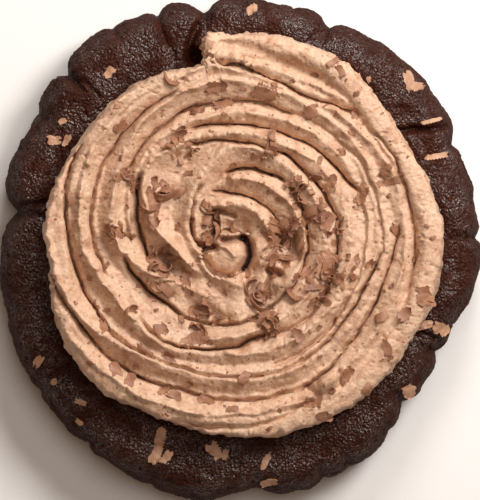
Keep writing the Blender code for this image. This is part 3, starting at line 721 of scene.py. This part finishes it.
def make_cookie():
    """The cake cookie, ring by ring: up the side, over the shoulder and in under the frosting."""
    turn = np.arange(COOKIE_COLUMNS) * 360.0 / COOKIE_COLUMNS
    c, s = np.cos(np.radians(turn)), np.sin(np.radians(turn))
    rough = layered(RIM_ROUGH, c * MEAN_RIM, s * MEAN_RIM, 0 * c)
    rows = []
    for inset, height, outward, upward in cookie_stations():
        below = max(0.0, 1 - height / WAIST_H)
        bent = turn + NOTCH_BEND * below * lumps(c * 5, s * 5, np.full_like(c, height / 3.0), 1.0, 74)
        lost = NOTCH_LOST * below
        radius = (1 - lost) * rim_radius(bent) + lost * around(LOBES, turn) + rough - inset
        x, y = radius * c, radius * s
        z = np.full_like(x, height)
        live = smooth(np.full_like(x, (height - 0.2) / 3.0)) * min(1.0, outward + upward)
        bump = cookie_bump(x, y, z, radius, turn, height, upward) * live
        if upward:
            bare = smooth((past_swirl(x, y) + 0.4) / 2.0)
            bump = bump * (1 - upward) + (bump * bare - BED_SINK * (1 - bare)) * upward
        stray_x = x + CRACK_STRAY * lumps(x, y, z, 2.4, 72)
        stray_y = y + CRACK_STRAY * lumps(x, y, z, 2.4, 73)
        cut = notch_cut(turn, radius, inset, height)
        cut = cut - along_lines(CRACKS, stray_x, stray_y) * min(1.0, upward * 1.5)
        reach = radius + bump * outward - 0.15 * cut * outward
        rows.append(np.stack([reach * c, reach * s, z + bump * upward - cut * upward], axis=1))
    count = len(rows) * COOKIE_COLUMNS
    points = np.concatenate(rows + [np.array([[0, 0, 0.0], [0, 0, COOKIE_H]])])
    faces = band_faces(len(rows), COOKIE_COLUMNS)
    for i in range(COOKIE_COLUMNS):
        j = (i + 1) % COOKIE_COLUMNS
        faces.append((count, j, i))
        faces.append((count + 1, count - COOKIE_COLUMNS + i, count - COOKIE_COLUMNS + j))
    return piece_from("baked_cookie", points, faces)


def disc_grid(half):
    """A square grid bent onto a disc: share of the radius, turn, quads, and the ring round its edge."""
    a, b = np.meshgrid(np.arange(-half, half + 1), np.arange(-half, half + 1))
    a, b = a.ravel().astype(float), b.ravel().astype(float)
    wide = np.abs(a) >= np.abs(b)
    top = np.where(wide, a, b)
    ratio = np.where(wide, b, a) / np.where(top == 0, 1.0, top)
    turn = np.where(wide, 45.0 * ratio, 90.0 - 45.0 * ratio) + np.where(top < 0, 180.0, 0.0)
    side = 2 * half + 1
    i, j = np.meshgrid(np.arange(side - 1), np.arange(side - 1))
    low = (j * side + i).ravel()
    quads = np.stack([low, low + 1, low + side + 1, low + side], axis=1).tolist()
    edge = np.flatnonzero(np.maximum(np.abs(a), np.abs(b)) == half)
    ring = edge[np.argsort(turn[edge] % 360)]
    return np.abs(top) / half, turn % 360, quads, ring


def crowd_at_tail(turn):
    """Draw the grid's spokes together where the tail's end steps the outline."""
    fine = np.linspace(0, 360, 7201)
    density = 1.0 + TAIL_CROWD * np.exp(-((fine - TAIL_END) / 3.0) ** 2)
    total = np.concatenate([[0.0], np.cumsum(0.5 * (density[1:] + density[:-1]))])
    return np.interp(turn, total / total[-1] * 360.0, fine)


def frosting_top():
    """The swirl's upper surface: points, quads, and the ring round it with its turns and radii."""
    share, turn, faces, ring = disc_grid(SWIRL_GRID)
    turn = crowd_at_tail(turn)
    edge = around(FROSTING_EDGE, turn)
    # rings drawn together towards the edge, so that the steep wall has its share of them
    away = (1 - share) * MEAN_EDGE
    away = np.where(away < STEEP, STEEP * (1 - np.cos(0.5 * math.pi * away / STEEP)), away)
    share = 1 - away / MEAN_EDGE
    follow = smooth((share * MEAN_EDGE - SETTLED) / (MEAN_EDGE - 2.0 - SETTLED))
    radius = share * (MEAN_EDGE * (1 - follow) + edge * follow)
    x = radius * np.cos(np.radians(turn))
    y = SWIRL_Y + radius * np.sin(np.radians(turn))
    z, lane, run, lean = swirl_surface(x, y)
    z = z + swirl_texture(x, y, z, lane, run)
    lean = 1 + lean / np.maximum(radius, MIDDLE)
    points = np.stack([x * lean, SWIRL_Y + (y - SWIRL_Y) * lean, z], axis=1)
    return points, faces, ring, turn[ring], edge[ring]


def fray(x, y, z):
    """Ridges along the outer wall, a ragged edge, and the torn end of the tail."""
    r, turn = polar(x, y)
    tail = np.exp(-((turn - TORN_AT) / TORN_SPREAD) ** 2) * smooth((np.hypot(x, y) - 38) / 3)
    c, s = np.cos(np.radians(turn)), np.sin(np.radians(turn))
    waver = 1.6 * lumps(MEAN_LAP * c, MEAN_LAP * s, 0 * x, 9.0, 66)
    hollow = 0.5 - 0.5 * np.cos(2 * math.pi * z / SIDE_RIDGE + waver)
    on_wall = smooth((past_swirl(x, y) + 1.4) / 1.2) * smooth(z) * smooth((SIDE_TOP - z) / 2.0)
    pull = 1 - SIDE_DEPTH * hollow * on_wall / np.maximum(r, MIDDLE)
    x, y = x * pull, SWIRL_Y + (y - SWIRL_Y) * pull
    coarse = 0.30 + 0.7 * tail
    fine = 0.10 + 0.36 * smooth(past_swirl(x, y) + 2.0) + 0.45 * tail
    sway_x = coarse * lumps(x, y, z, 3.2, 61) + fine * lumps(x, y, z, 1.4, 62)
    sway_y = coarse * lumps(x, y, z, 3.2, 63) + fine * lumps(x, y, z, 1.4, 64)
    for knob_x, knob_y, size in TORN_KNOBS:
        near = ((y - knob_y) / (0.7 * size)) ** 2 + ((x - knob_x) / 2.4) ** 2
        sway_x = sway_x - 1.1 * np.exp(-near) * tail
    knob_x, _, size = TORN_KNOBS[0]
    outside = smooth((past_swirl(x, y) + 1.6) / 1.6)
    sway_y = sway_y + 0.7 * np.exp(-((x - knob_x) / (0.9 * size)) ** 2) * outside * tail
    loose = smooth((z + 0.2) / 2.0)
    return x + sway_x * loose, y + sway_y * loose


def make_frosting():
    """The piped swirl: its upper surface, the wall down and under from its edge, and its base."""
    top, faces, ring, turn, edge = frosting_top()
    c, s = np.cos(np.radians(turn)), np.sin(np.radians(turn))
    columns = len(ring)
    points = [top]
    rings = [ring.tolist()]
    wall = [(edge - TUCK * (1 - math.sin(a)), UNDERSIDE + (WALL_FOOT - UNDERSIDE) * (1 - math.cos(a)))
            for a in np.radians(WALL_ANGLES)]
    for radius, height in wall + [(0.5 * edge, UNDERSIDE)]:
        first = len(top) + (len(rings) - 1) * columns
        rings.append(list(range(first, first + columns)))
        points.append(np.stack([radius * c, SWIRL_Y + radius * s, np.full_like(c, height)], axis=1))
    points.append(np.array([[0.0, SWIRL_Y, UNDERSIDE]]))
    middle = len(top) + (len(rings) - 1) * columns
    for upper, lower in zip(rings[:-1], rings[1:]):
        for i in range(columns):
            j = (i + 1) % columns
            faces.append((upper[i], lower[i], lower[j], upper[j]))
    for i in range(columns):
        faces.append((rings[-1][i], middle, rings[-1][(i + 1) % columns]))
    x, y, z = np.concatenate(points).T
    x, y = fray(x, y, z)
    return piece_from("piped_swirl", np.stack([x, y, z + BED], axis=1), faces)


def ground(*objects):
    """Trees to rest things on the finished surfaces."""
    trees = []
    for obj in objects:
        corners = [v.co for v in obj.data.vertices]
        trees.append(BVHTree.FromPolygons(corners, [tuple(p.vertices) for p in obj.data.polygons]))
    return trees


def resting(trees, x, y):
    """The highest surface point under x, y and its normal."""
    best = None
    for tree in trees:
        hit, normal, _, _ = tree.ray_cast(Vector((x * MM, y * MM, DROP_FROM * MM)), Vector((0, 0, -1)))
        if hit is not None and (best is None or hit.z > best[0].z):
            best = (hit, normal)
    return best


class Heap:
    """Collects many small solids into one mesh."""

    def __init__(self):
        self.points = []
        self.faces = []
        self.count = 0

    def add(self, points, faces):
        self.points.append(points)
        self.faces += [tuple(i + self.count for i in face) for face in faces]
        self.count += len(points)

    def finish(self, name):
        return piece_from(name, np.concatenate(self.points), self.faces, False)


def slab_faces(along, across):
    """Faces of a thin slab whose two skins are grids of quads, upper skin first."""
    n = across + 1
    m = (along + 1) * n
    faces = []
    for i in range(along):
        for j in range(across):
            a, b, c, d = i * n + j, (i + 1) * n + j, (i + 1) * n + j + 1, i * n + j + 1
            faces.append((a, b, c, d))
            faces.append((m + a, m + d, m + c, m + b))
    for i in range(along):
        a, b = i * n, (i + 1) * n
        faces.append((a, m + a, m + b, b))
        a, b = i * n + across, (i + 1) * n + across
        faces.append((a, b, m + b, m + a))
    for j in range(across):
        faces.append((j, j + 1, m + j + 1, m + j))
        a, b = along * n + j, along * n + j + 1
        faces.append((a, m + a, m + b, b))
    return faces


def scraping(rng, length, width, curl, teeth, thick):
    """One shaving scraped off a chocolate bar: thin, torn at the edges, curled along its length.

    Returns its points, upper skin first, and its faces."""
    along = max(7, int(length / SHAVING_STEP), 2 * teeth + 2)
    s = np.linspace(-0.5, 0.5, along + 1)
    blunt_a, blunt_b = rng.uniform(0.45, 1.0, 2)
    body = np.minimum(1.0, np.minimum((s + 0.5) / 0.2 + blunt_a, (0.5 - s) / 0.2 + blunt_b))
    rough = np.clip(0.10 + 0.02 * width, 0, 0.18)
    sides = []
    for _ in range(2):
        wave = np.interp(s, np.linspace(-0.5, 0.5, 5), rng.normal(0, rough, 5))
        ragged = rng.normal(0, 0.5 * rough, along + 1)
        sides.append(np.clip(body * (1 + wave) + ragged, 0.15, 1.5))
    if teeth:
        sides[0] = sides[0] * 0.4 + body * 0.6 - TOOTH * (np.arange(along + 1) % 2)
    turns = math.radians(max(curl, LEAST_CURL)) * (s + rng.uniform(-0.5, 0.5) * (s * s - 0.08) * 2)
    step = length / along
    halfway = 0.5 * (turns[1:] + turns[:-1])
    spine_x = np.concatenate([[0], np.cumsum(np.cos(halfway) * step)])
    spine_z = np.concatenate([[0], np.cumsum(np.sin(halfway) * step)])
    spine_x -= spine_x[along // 2]
    spine_z -= spine_z[along // 2]
    ragged_ends = rng.normal(0, min(0.16 * width, 0.32), (2, SHAVING_ACROSS + 1))
    skew = rng.uniform(-0.3, 0.3)
    twist = math.radians(rng.uniform(-MOST_TWIST, MOST_TWIST))
    cup = rng.uniform(-0.3, 0.3)
    top, bottom = [], []
    for i, t in enumerate(s):
        up = np.array([-math.sin(turns[i]), 0.0, math.cos(turns[i])])
        ahead = np.array([math.cos(turns[i]), 0.0, math.sin(turns[i])])
        side = np.array([0.0, math.cos(twist * t), math.sin(twist * t)])
        for j, v in enumerate(np.linspace(-1, 1, SHAVING_ACROSS + 1)):
            w = 0.5 * width * v * (sides[0][i] if v < 0 else sides[1][i])
            end = ragged_ends[0][j] * max(0.0, -t * 4 - 1) + ragged_ends[1][j] * max(0.0, t * 4 - 1)
            p = (np.array([spine_x[i], 0.0, spine_z[i]]) + side * (w + skew * t * width) + ahead * end
                 + up * (cup * (1 - v * v) * width * 0.4))
            top.append(p + up * thick * 0.5)
            bottom.append(p - up * thick * 0.5)
    return np.array(top + bottom), slab_faces(along, SHAVING_ACROSS)


def lay(points, spot, normal, heading, lift, pitch=0.0, roll=0.0):
    """Turn a small solid to a heading on a surface and set it down there."""
    along = Matrix.Rotation(math.radians(heading), 3, "Z") @ Vector((1, 0, 0))
    side = normal.cross(along).normalized()
    along = side.cross(normal)
    base = Matrix((along, side, normal)).transposed()
    tilt = Matrix.Rotation(math.radians(pitch), 3, "Y")
    whole = base @ tilt @ Matrix.Rotation(math.radians(roll), 3, "X")
    m = np.array([list(row) for row in whole])
    return points @ m.T + np.array(spot) / MM + np.array(normal) * lift


def press_down(points, trees, share, thick):
    """Let a shaving follow the surface under it by a share, as if pressed in."""
    half = len(points) // 2
    for i in range(half):
        middle = 0.5 * (points[i] + points[i + half])
        found = resting(trees, middle[0], middle[1])
        if found is None:
            continue
        level = found[0].z / MM + PRESS_GAP
        drop = float(np.clip(share * (level - middle[2]), -MOST_BEND, MOST_BEND))
        drop = max(drop, min(level - 0.5 * thick - middle[2], MOST_LIFT))
        points[i, 2] += drop
        points[i + half, 2] += drop
    return points


def drop_shaving(heap, rng, trees, place, curl, teeth, press, lean):
    """Drop one shaving: place is x, y, length, width, heading."""
    x, y, length, width, heading = place
    found = resting(trees, x, y)
    if found is None:
        return
    spot, normal = found
    normal = (normal + Vector((0, 0, 0.9))).normalized()
    thick = SHAVING_THICK + 0.02 * width
    points, faces = scraping(rng, length, width, curl, teeth, thick)
    if rng.uniform() < FACE_DOWN:
        points = points * np.array([1, 1, -1])
        faces = [tuple(reversed(f)) for f in faces]
        points[:, 2] -= points[:, 2].min() * 0.8
    on_edge = ON_EDGE if curl >= 90 and teeth else 0.0
    raise_by = 0.12 + 0.38 * width * math.sin(math.radians(on_edge))
    pitch, roll = rng.normal(0, lean), on_edge + rng.normal(0, lean)
    points = lay(points, spot, normal, heading, raise_by, pitch, roll)
    heap.add(press_down(points, trees, press, thick), faces)


def make_rim_shavings(trees):
    """The broken pieces on the bare rim."""
    rng = np.random.default_rng(SCATTER_SEED + 2)
    heap = Heap()
    for *place, curl, teeth in RIM_SHAVINGS:
        drop_shaving(heap, rng, trees, place, curl, teeth, 0.6, 3.0)
    return heap.finish("rim_shavings")


def on_swirl(rng, reach):
    """A random place within a reach of the swirl's middle, and how far it is past the edge."""
    r, a = reach * math.sqrt(rng.uniform(0, 1)), rng.uniform(0, 2 * math.pi)
    x, y = r * math.cos(a), SWIRL_Y + r * math.sin(a)
    return x, y, float(past_swirl(np.array([x]), np.array([y]))[0])


def make_shavings(trees):
    """The shavings on the swirl: placed ones, heaps of fine curls, and small scattered ones."""
    rng = np.random.default_rng(SCATTER_SEED)
    heap = Heap()
    for *place, curl, teeth in SWIRL_SHAVINGS:
        drop_shaving(heap, rng, trees, place, curl, teeth, 0.4 if curl < 60 else 0.1, 6.0)
    for x, y, radius, count in HEAPS:
        for _ in range(int(0.6 * count)):
            a, r = rng.uniform(0, 2 * math.pi), 1.25 * radius * rng.uniform(0, 1) ** 0.6
            place = (x + r * math.cos(a), y + r * math.sin(a), rng.uniform(1.8, 4.6),
                     rng.uniform(0.9, 2.8), rng.uniform(0, 360))
            drop_shaving(heap, rng, trees, place, rng.uniform(20, 170), int(rng.uniform(0, 7)), 0.2, 16.0)
    placed = [(p[0], p[1]) for p in SWIRL_SHAVINGS]
    while len(placed) < SMALL_SHAVINGS + len(SWIRL_SHAVINGS):
        x, y, past = on_swirl(rng, 43.0)
        if past > -1.0 or min(math.hypot(x - p, y - q) for p, q in placed) < SMALL_APART:
            continue
        placed.append((x, y))
        size = 0.5 + 1.7 * rng.uniform() ** 1.8
        place = (x, y, size, size * rng.uniform(0.3, 0.8), rng.uniform(0, 360))
        drop_shaving(heap, rng, trees, place, rng.uniform(20, 160), 0, 0.4, 12.0)
    return heap.finish("shavings")


def make_specks(trees):
    """Chocolate dust: crumbs a few tenths of a millimetre across."""
    rng = np.random.default_rng(SCATTER_SEED + 1)
    heap = Heap()
    corners = np.array([(1, 0, 0), (0, 1, 0), (-1, 0, 0), (0, -1, 0), (0, 0, 1), (0, 0, -1)], float)
    faces = [(0, 1, 4), (1, 2, 4), (2, 3, 4), (3, 0, 4), (1, 0, 5), (2, 1, 5), (3, 2, 5), (0, 3, 5)]
    for _ in range(SPECKS):
        x, y, past = on_swirl(rng, 44.0)
        if past > -0.5:
            continue
        spot, normal = resting(trees, x, y)
        size = 0.10 + 0.22 * rng.uniform() ** 2
        points = corners * size * np.array([rng.uniform(0.7, 1.6), rng.uniform(0.6, 1.1), 0.5])
        heap.add(lay(points, spot, normal, rng.uniform(0, 360), 0.0), faces)
    return heap.finish("chocolate_dust")


# ---- materials ---------------------------------------------------------------------------
def tone(code):
    """sRGB hex to linear colour."""
    parts = [int(code[i:i + 2], 16) / 255.0 for i in (1, 3, 5)]
    return tuple(p / 12.92 if p <= 0.04045 else ((p + 0.055) / 1.055) ** 2.4 for p in parts) + (1.0,)


def add(mat, kind, settings=None, links=None, stops=None):
    """Add a node, set its properties, sockets and ramp stops, and link its inputs."""
    node = mat.node_tree.nodes.new(kind)
    for key, value in (settings or {}).items():
        if isinstance(key, str) and hasattr(node, key):
            setattr(node, key, value)
        else:
            node.inputs[key].default_value = value
    for key, source in (links or {}).items():
        mat.node_tree.links.new(source, node.inputs[key])
    for place, (position, code) in enumerate(stops or []):
        elements = node.color_ramp.elements
        if place >= len(elements):
            elements.new(position)
        elements[place].position = position
        elements[place].color = tone(code)
    return node


def new_finish(name):
    """An empty material with nodes."""
    mat = bpy.data.materials.new(name)
    mat.use_nodes = True
    mat.node_tree.nodes.clear()
    return mat


def per_mm(size):
    """Texture scale for features of this size in object space, which is in metres."""
    return 1.0 / (size * MM)


def whipped_buttercream():
    """Chocolate buttercream, whipped and piped: satin fat that lets a little light in, with a
    faint grain of icing sugar, soft cloudy streaks and dots of grated chocolate showing through."""
    mat = new_finish("whipped_buttercream")
    place = add(mat, "ShaderNodeTexCoord").outputs["Object"]
    cloud = add(mat, "ShaderNodeTexNoise", {"Scale": per_mm(6.0), "Detail": 3.0}, {"Vector": place})
    grit = add(mat, "ShaderNodeTexNoise", {"Scale": per_mm(0.7), "Detail": 3.0}, {"Vector": place})
    dots = add(mat, "ShaderNodeTexVoronoi", {"Scale": per_mm(2.3)}, {"Vector": place})
    base = add(mat, "ShaderNodeValToRGB", links={"Fac": cloud.outputs["Fac"]},
               stops=[(0.32, BUTTERCREAM_DEEP), (0.68, BUTTERCREAM_PALE)])
    sugar = add(mat, "ShaderNodeValToRGB", links={"Fac": grit.outputs["Fac"]},
                stops=[(0.34, BUTTERCREAM_GRAIN_DEEP), (0.66, BUTTERCREAM_GRAIN_PALE)])
    cream = add(mat, "ShaderNodeMix", {"data_type": "RGBA", 0: 0.45},
                {6: base.outputs["Color"], 7: sugar.outputs["Color"]})
    fleck = add(mat, "ShaderNodeValToRGB", links={"Fac": dots.outputs["Distance"]},
                stops=[(0.07, GRATED_DOT), (0.15, UNTINTED)])
    mixed = add(mat, "ShaderNodeMix", {"data_type": "RGBA", "blend_type": "MULTIPLY", 0: 0.8},
                {6: cream.outputs[2], 7: fleck.outputs["Color"]})
    soaked = add(mat, "ShaderNodeTexNoise", {"Scale": per_mm(2.6), "Detail": 4.0}, {"Vector": place})
    stain = add(mat, "ShaderNodeValToRGB", links={"Fac": soaked.outputs["Fac"]},
                stops=[(0.50, UNTINTED), (0.70, COCOA_STAIN)])
    dusted = add(mat, "ShaderNodeMix", {"data_type": "RGBA", "blend_type": "MULTIPLY", 0: 0.55},
                 {6: mixed.outputs[2], 7: stain.outputs["Color"]})
    bump = add(mat, "ShaderNodeBump", {"Strength": 0.6, "Distance": 0.4 * MM},
               {"Height": grit.outputs["Fac"]})
    skin = add(mat, "ShaderNodeBsdfPrincipled",
               {"Roughness": 0.52, "Specular IOR Level": 0.4, "Subsurface Weight": 0.05,
                "Subsurface Scale": 0.8 * MM, "Subsurface Radius": (1.0, 0.45, 0.25)},
               {"Base Color": dusted.outputs[2], "Normal": bump.outputs["Normal"]})
    add(mat, "ShaderNodeOutputMaterial", links={"Surface": skin.outputs["BSDF"]})
    return mat


def baked_cocoa_crumb():
    """Dark cocoa crumb, baked: nearly black red-brown, fine grained, with a greasy glint on the
    grains where butter has come up."""
    mat = new_finish("baked_cocoa_crumb")
    where = add(mat, "ShaderNodeTexCoord")
    place = where.outputs["Object"]
    facing = add(mat, "ShaderNodeSeparateXYZ", links={"Vector": where.outputs["Normal"]})
    cloud = add(mat, "ShaderNodeTexNoise", {"Scale": per_mm(8.0), "Detail": 4.0}, {"Vector": place})
    grain = add(mat, "ShaderNodeTexVoronoi", {"Scale": per_mm(0.62)}, {"Vector": place})
    grit = add(mat, "ShaderNodeTexNoise", {"Scale": per_mm(0.5), "Detail": 3.0}, {"Vector": place})
    fine = add(mat, "ShaderNodeTexNoise", {"Scale": per_mm(0.46), "Detail": 3.0}, {"Vector": place})
    base = add(mat, "ShaderNodeValToRGB", links={"Fac": cloud.outputs["Fac"]},
               stops=[(0.3, COCOA_DEEP), (0.7, COCOA_WARM)])
    warm = add(mat, "ShaderNodeValToRGB", links={"Fac": grit.outputs["Fac"]},
               stops=[(0.35, COCOA_GRAIN_DEEP), (0.68, COCOA_GRAIN_PALE)])
    mixed = add(mat, "ShaderNodeMix", {"data_type": "RGBA", 0: 0.5},
                {6: base.outputs["Color"], 7: warm.outputs["Color"]})
    greasy = add(mat, "ShaderNodeTexNoise", {"Scale": per_mm(5.0), "Detail": 2.0}, {"Vector": place})
    patch = add(mat, "ShaderNodeMapRange",
                {"From Min": 0.36, "From Max": 0.58, "To Min": 0.10, "To Max": 1.0},
                {"Value": greasy.outputs["Fac"]})
    upward = add(mat, "ShaderNodeMapRange", {"From Min": 0.35, "From Max": 0.85, "To Max": 1.0},
                 {"Value": facing.outputs["Z"]})
    buttery = add(mat, "ShaderNodeMath", {"operation": "MULTIPLY"},
                  {0: patch.outputs["Result"], 1: upward.outputs["Result"]})
    facet = add(mat, "ShaderNodeMapRange", {"From Min": 0.37, "From Max": 0.54, "To Max": 1.0},
                {"Value": fine.outputs["Fac"]})
    glint = add(mat, "ShaderNodeMath", {"operation": "MULTIPLY"},
                {0: buttery.outputs["Value"], 1: facet.outputs["Result"]})
    low = add(mat, "ShaderNodeBump", {"Strength": 0.9, "Distance": 0.3 * MM, "invert": True},
              {"Height": grain.outputs["Distance"]})
    bump = add(mat, "ShaderNodeBump", {"Strength": 0.8, "Distance": 0.2 * MM},
               {"Height": fine.outputs["Fac"], "Normal": low.outputs["Normal"]})
    skin = add(mat, "ShaderNodeBsdfPrincipled",
               {"Roughness": 0.6, "Specular IOR Level": 0.06, "Coat Roughness": 0.27, "Coat IOR": 1.64},
               {"Base Color": mixed.outputs[2], "Coat Weight": glint.outputs["Value"],
                "Normal": bump.outputs["Normal"], "Coat Normal": bump.outputs["Normal"]})
    add(mat, "ShaderNodeOutputMaterial", links={"Surface": skin.outputs["BSDF"]})
    return mat


def scraped_milk_chocolate(name, dark, light):
    """Milk chocolate scraped off a bar: matt, paler where the blade dragged, finely scored."""
    mat = new_finish(name)
    place = add(mat, "ShaderNodeTexCoord").outputs["Object"]
    each = add(mat, "ShaderNodeTexNoise", {"Scale": per_mm(3.2), "Detail": 3.0}, {"Vector": place})
    score = add(mat, "ShaderNodeTexNoise", {"Scale": per_mm(0.5), "Detail": 2.0}, {"Vector": place})
    base = add(mat, "ShaderNodeValToRGB", links={"Fac": each.outputs["Fac"]},
               stops=[(0.3, dark), (0.7, light)])
    bump = add(mat, "ShaderNodeBump", {"Strength": 0.3, "Distance": 0.2 * MM},
               {"Height": score.outputs["Fac"]})
    skin = add(mat, "ShaderNodeBsdfPrincipled", {"Roughness": 0.5, "IOR": 1.45},
               {"Base Color": base.outputs["Color"], "Normal": bump.outputs["Normal"]})
    add(mat, "ShaderNodeOutputMaterial", links={"Surface": skin.outputs["BSDF"]})
    return mat


def paper_floor():
    """Matt white paper: plain and even."""
    mat = new_finish("paper_floor")
    skin = add(mat, "ShaderNodeBsdfPrincipled", {"Base Color": tone(PAPER), "Roughness": 0.9})
    add(mat, "ShaderNodeOutputMaterial", links={"Surface": skin.outputs["BSDF"]})
    return mat


# ---- studio ------------------------------------------------------------------------------
def soft_light(name, where, size, power, colour):
    """A round soft lamp that faces the cookie."""
    data = bpy.data.lights.new(name, "AREA")
    data.shape = "DISK"
    data.size = size
    data.energy = power
    data.color = tone(colour)[:3]
    lamp = bpy.data.objects.new(name, data)
    lamp.location = where
    toward = Vector((0, 0, FRAMED_LEVEL)) - Vector(where)
    lamp.rotation_euler = toward.to_track_quat("-Z", "Y").to_euler()
    bpy.context.scene.collection.objects.link(lamp)


def studio():
    """White floor, three soft lamps, a dim warm room and the camera straight above."""
    half = FLOOR_HALF / MM
    corners = [(-half, -half, 0), (half, -half, 0), (half, half, 0), (-half, half, 0)]
    floor = piece_from("floor", corners, [(0, 1, 2, 3)], False)
    floor.data.materials.append(paper_floor())
    for lamp in LAMPS:
        soft_light(*lamp)
    world = bpy.data.worlds.new("room")
    world.use_nodes = True
    background = world.node_tree.nodes["Background"]
    background.inputs["Color"].default_value = tone(ROOM_COLOUR)
    background.inputs["Strength"].default_value = ROOM_STRENGTH
    bpy.context.scene.world = world
    bpy.context.scene.view_settings.view_transform = "Standard"
    data = bpy.data.cameras.new("camera")
    data.sensor_width = SENSOR
    data.lens = SENSOR * (CAMERA_HEIGHT - FRAMED_LEVEL) / FRAMED_HEIGHT
    data.clip_end = 10.0
    camera = bpy.data.objects.new("camera", data)
    camera.location = (0.0, 0.0, CAMERA_HEIGHT)
    bpy.context.scene.collection.objects.link(camera)
    bpy.context.scene.camera = camera


def dress(piece, mat, slot, *nodes):
    """Give a piece its material, ride it on the root and hide the model's parts it stands for; slot is not
    used.
    """
    piece.data.materials.clear()
    piece.data.materials.append(mat)
    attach(piece, "root")
    if nodes:
        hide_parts(*nodes)


cookie = make_cookie()
swirl = make_frosting()
trees = ground(cookie, swirl)
dress(cookie, baked_cocoa_crumb(), "cookie", "cookie")
dress(swirl, whipped_buttercream(), "frosting", "frosting")
broken = scraped_milk_chocolate("broken_milk_chocolate", *BROKEN_CHOCOLATE)
scraped = scraped_milk_chocolate("scraped_milk_chocolate", *SCRAPED_CHOCOLATE)
dust = scraped_milk_chocolate("cocoa_dust", *CHOCOLATE_DUST)
dress(make_rim_shavings(trees), broken, "cookie")
dress(make_shavings(trees), scraped, "frosting")
dress(make_specks(trees), dust, "frosting")
studio()
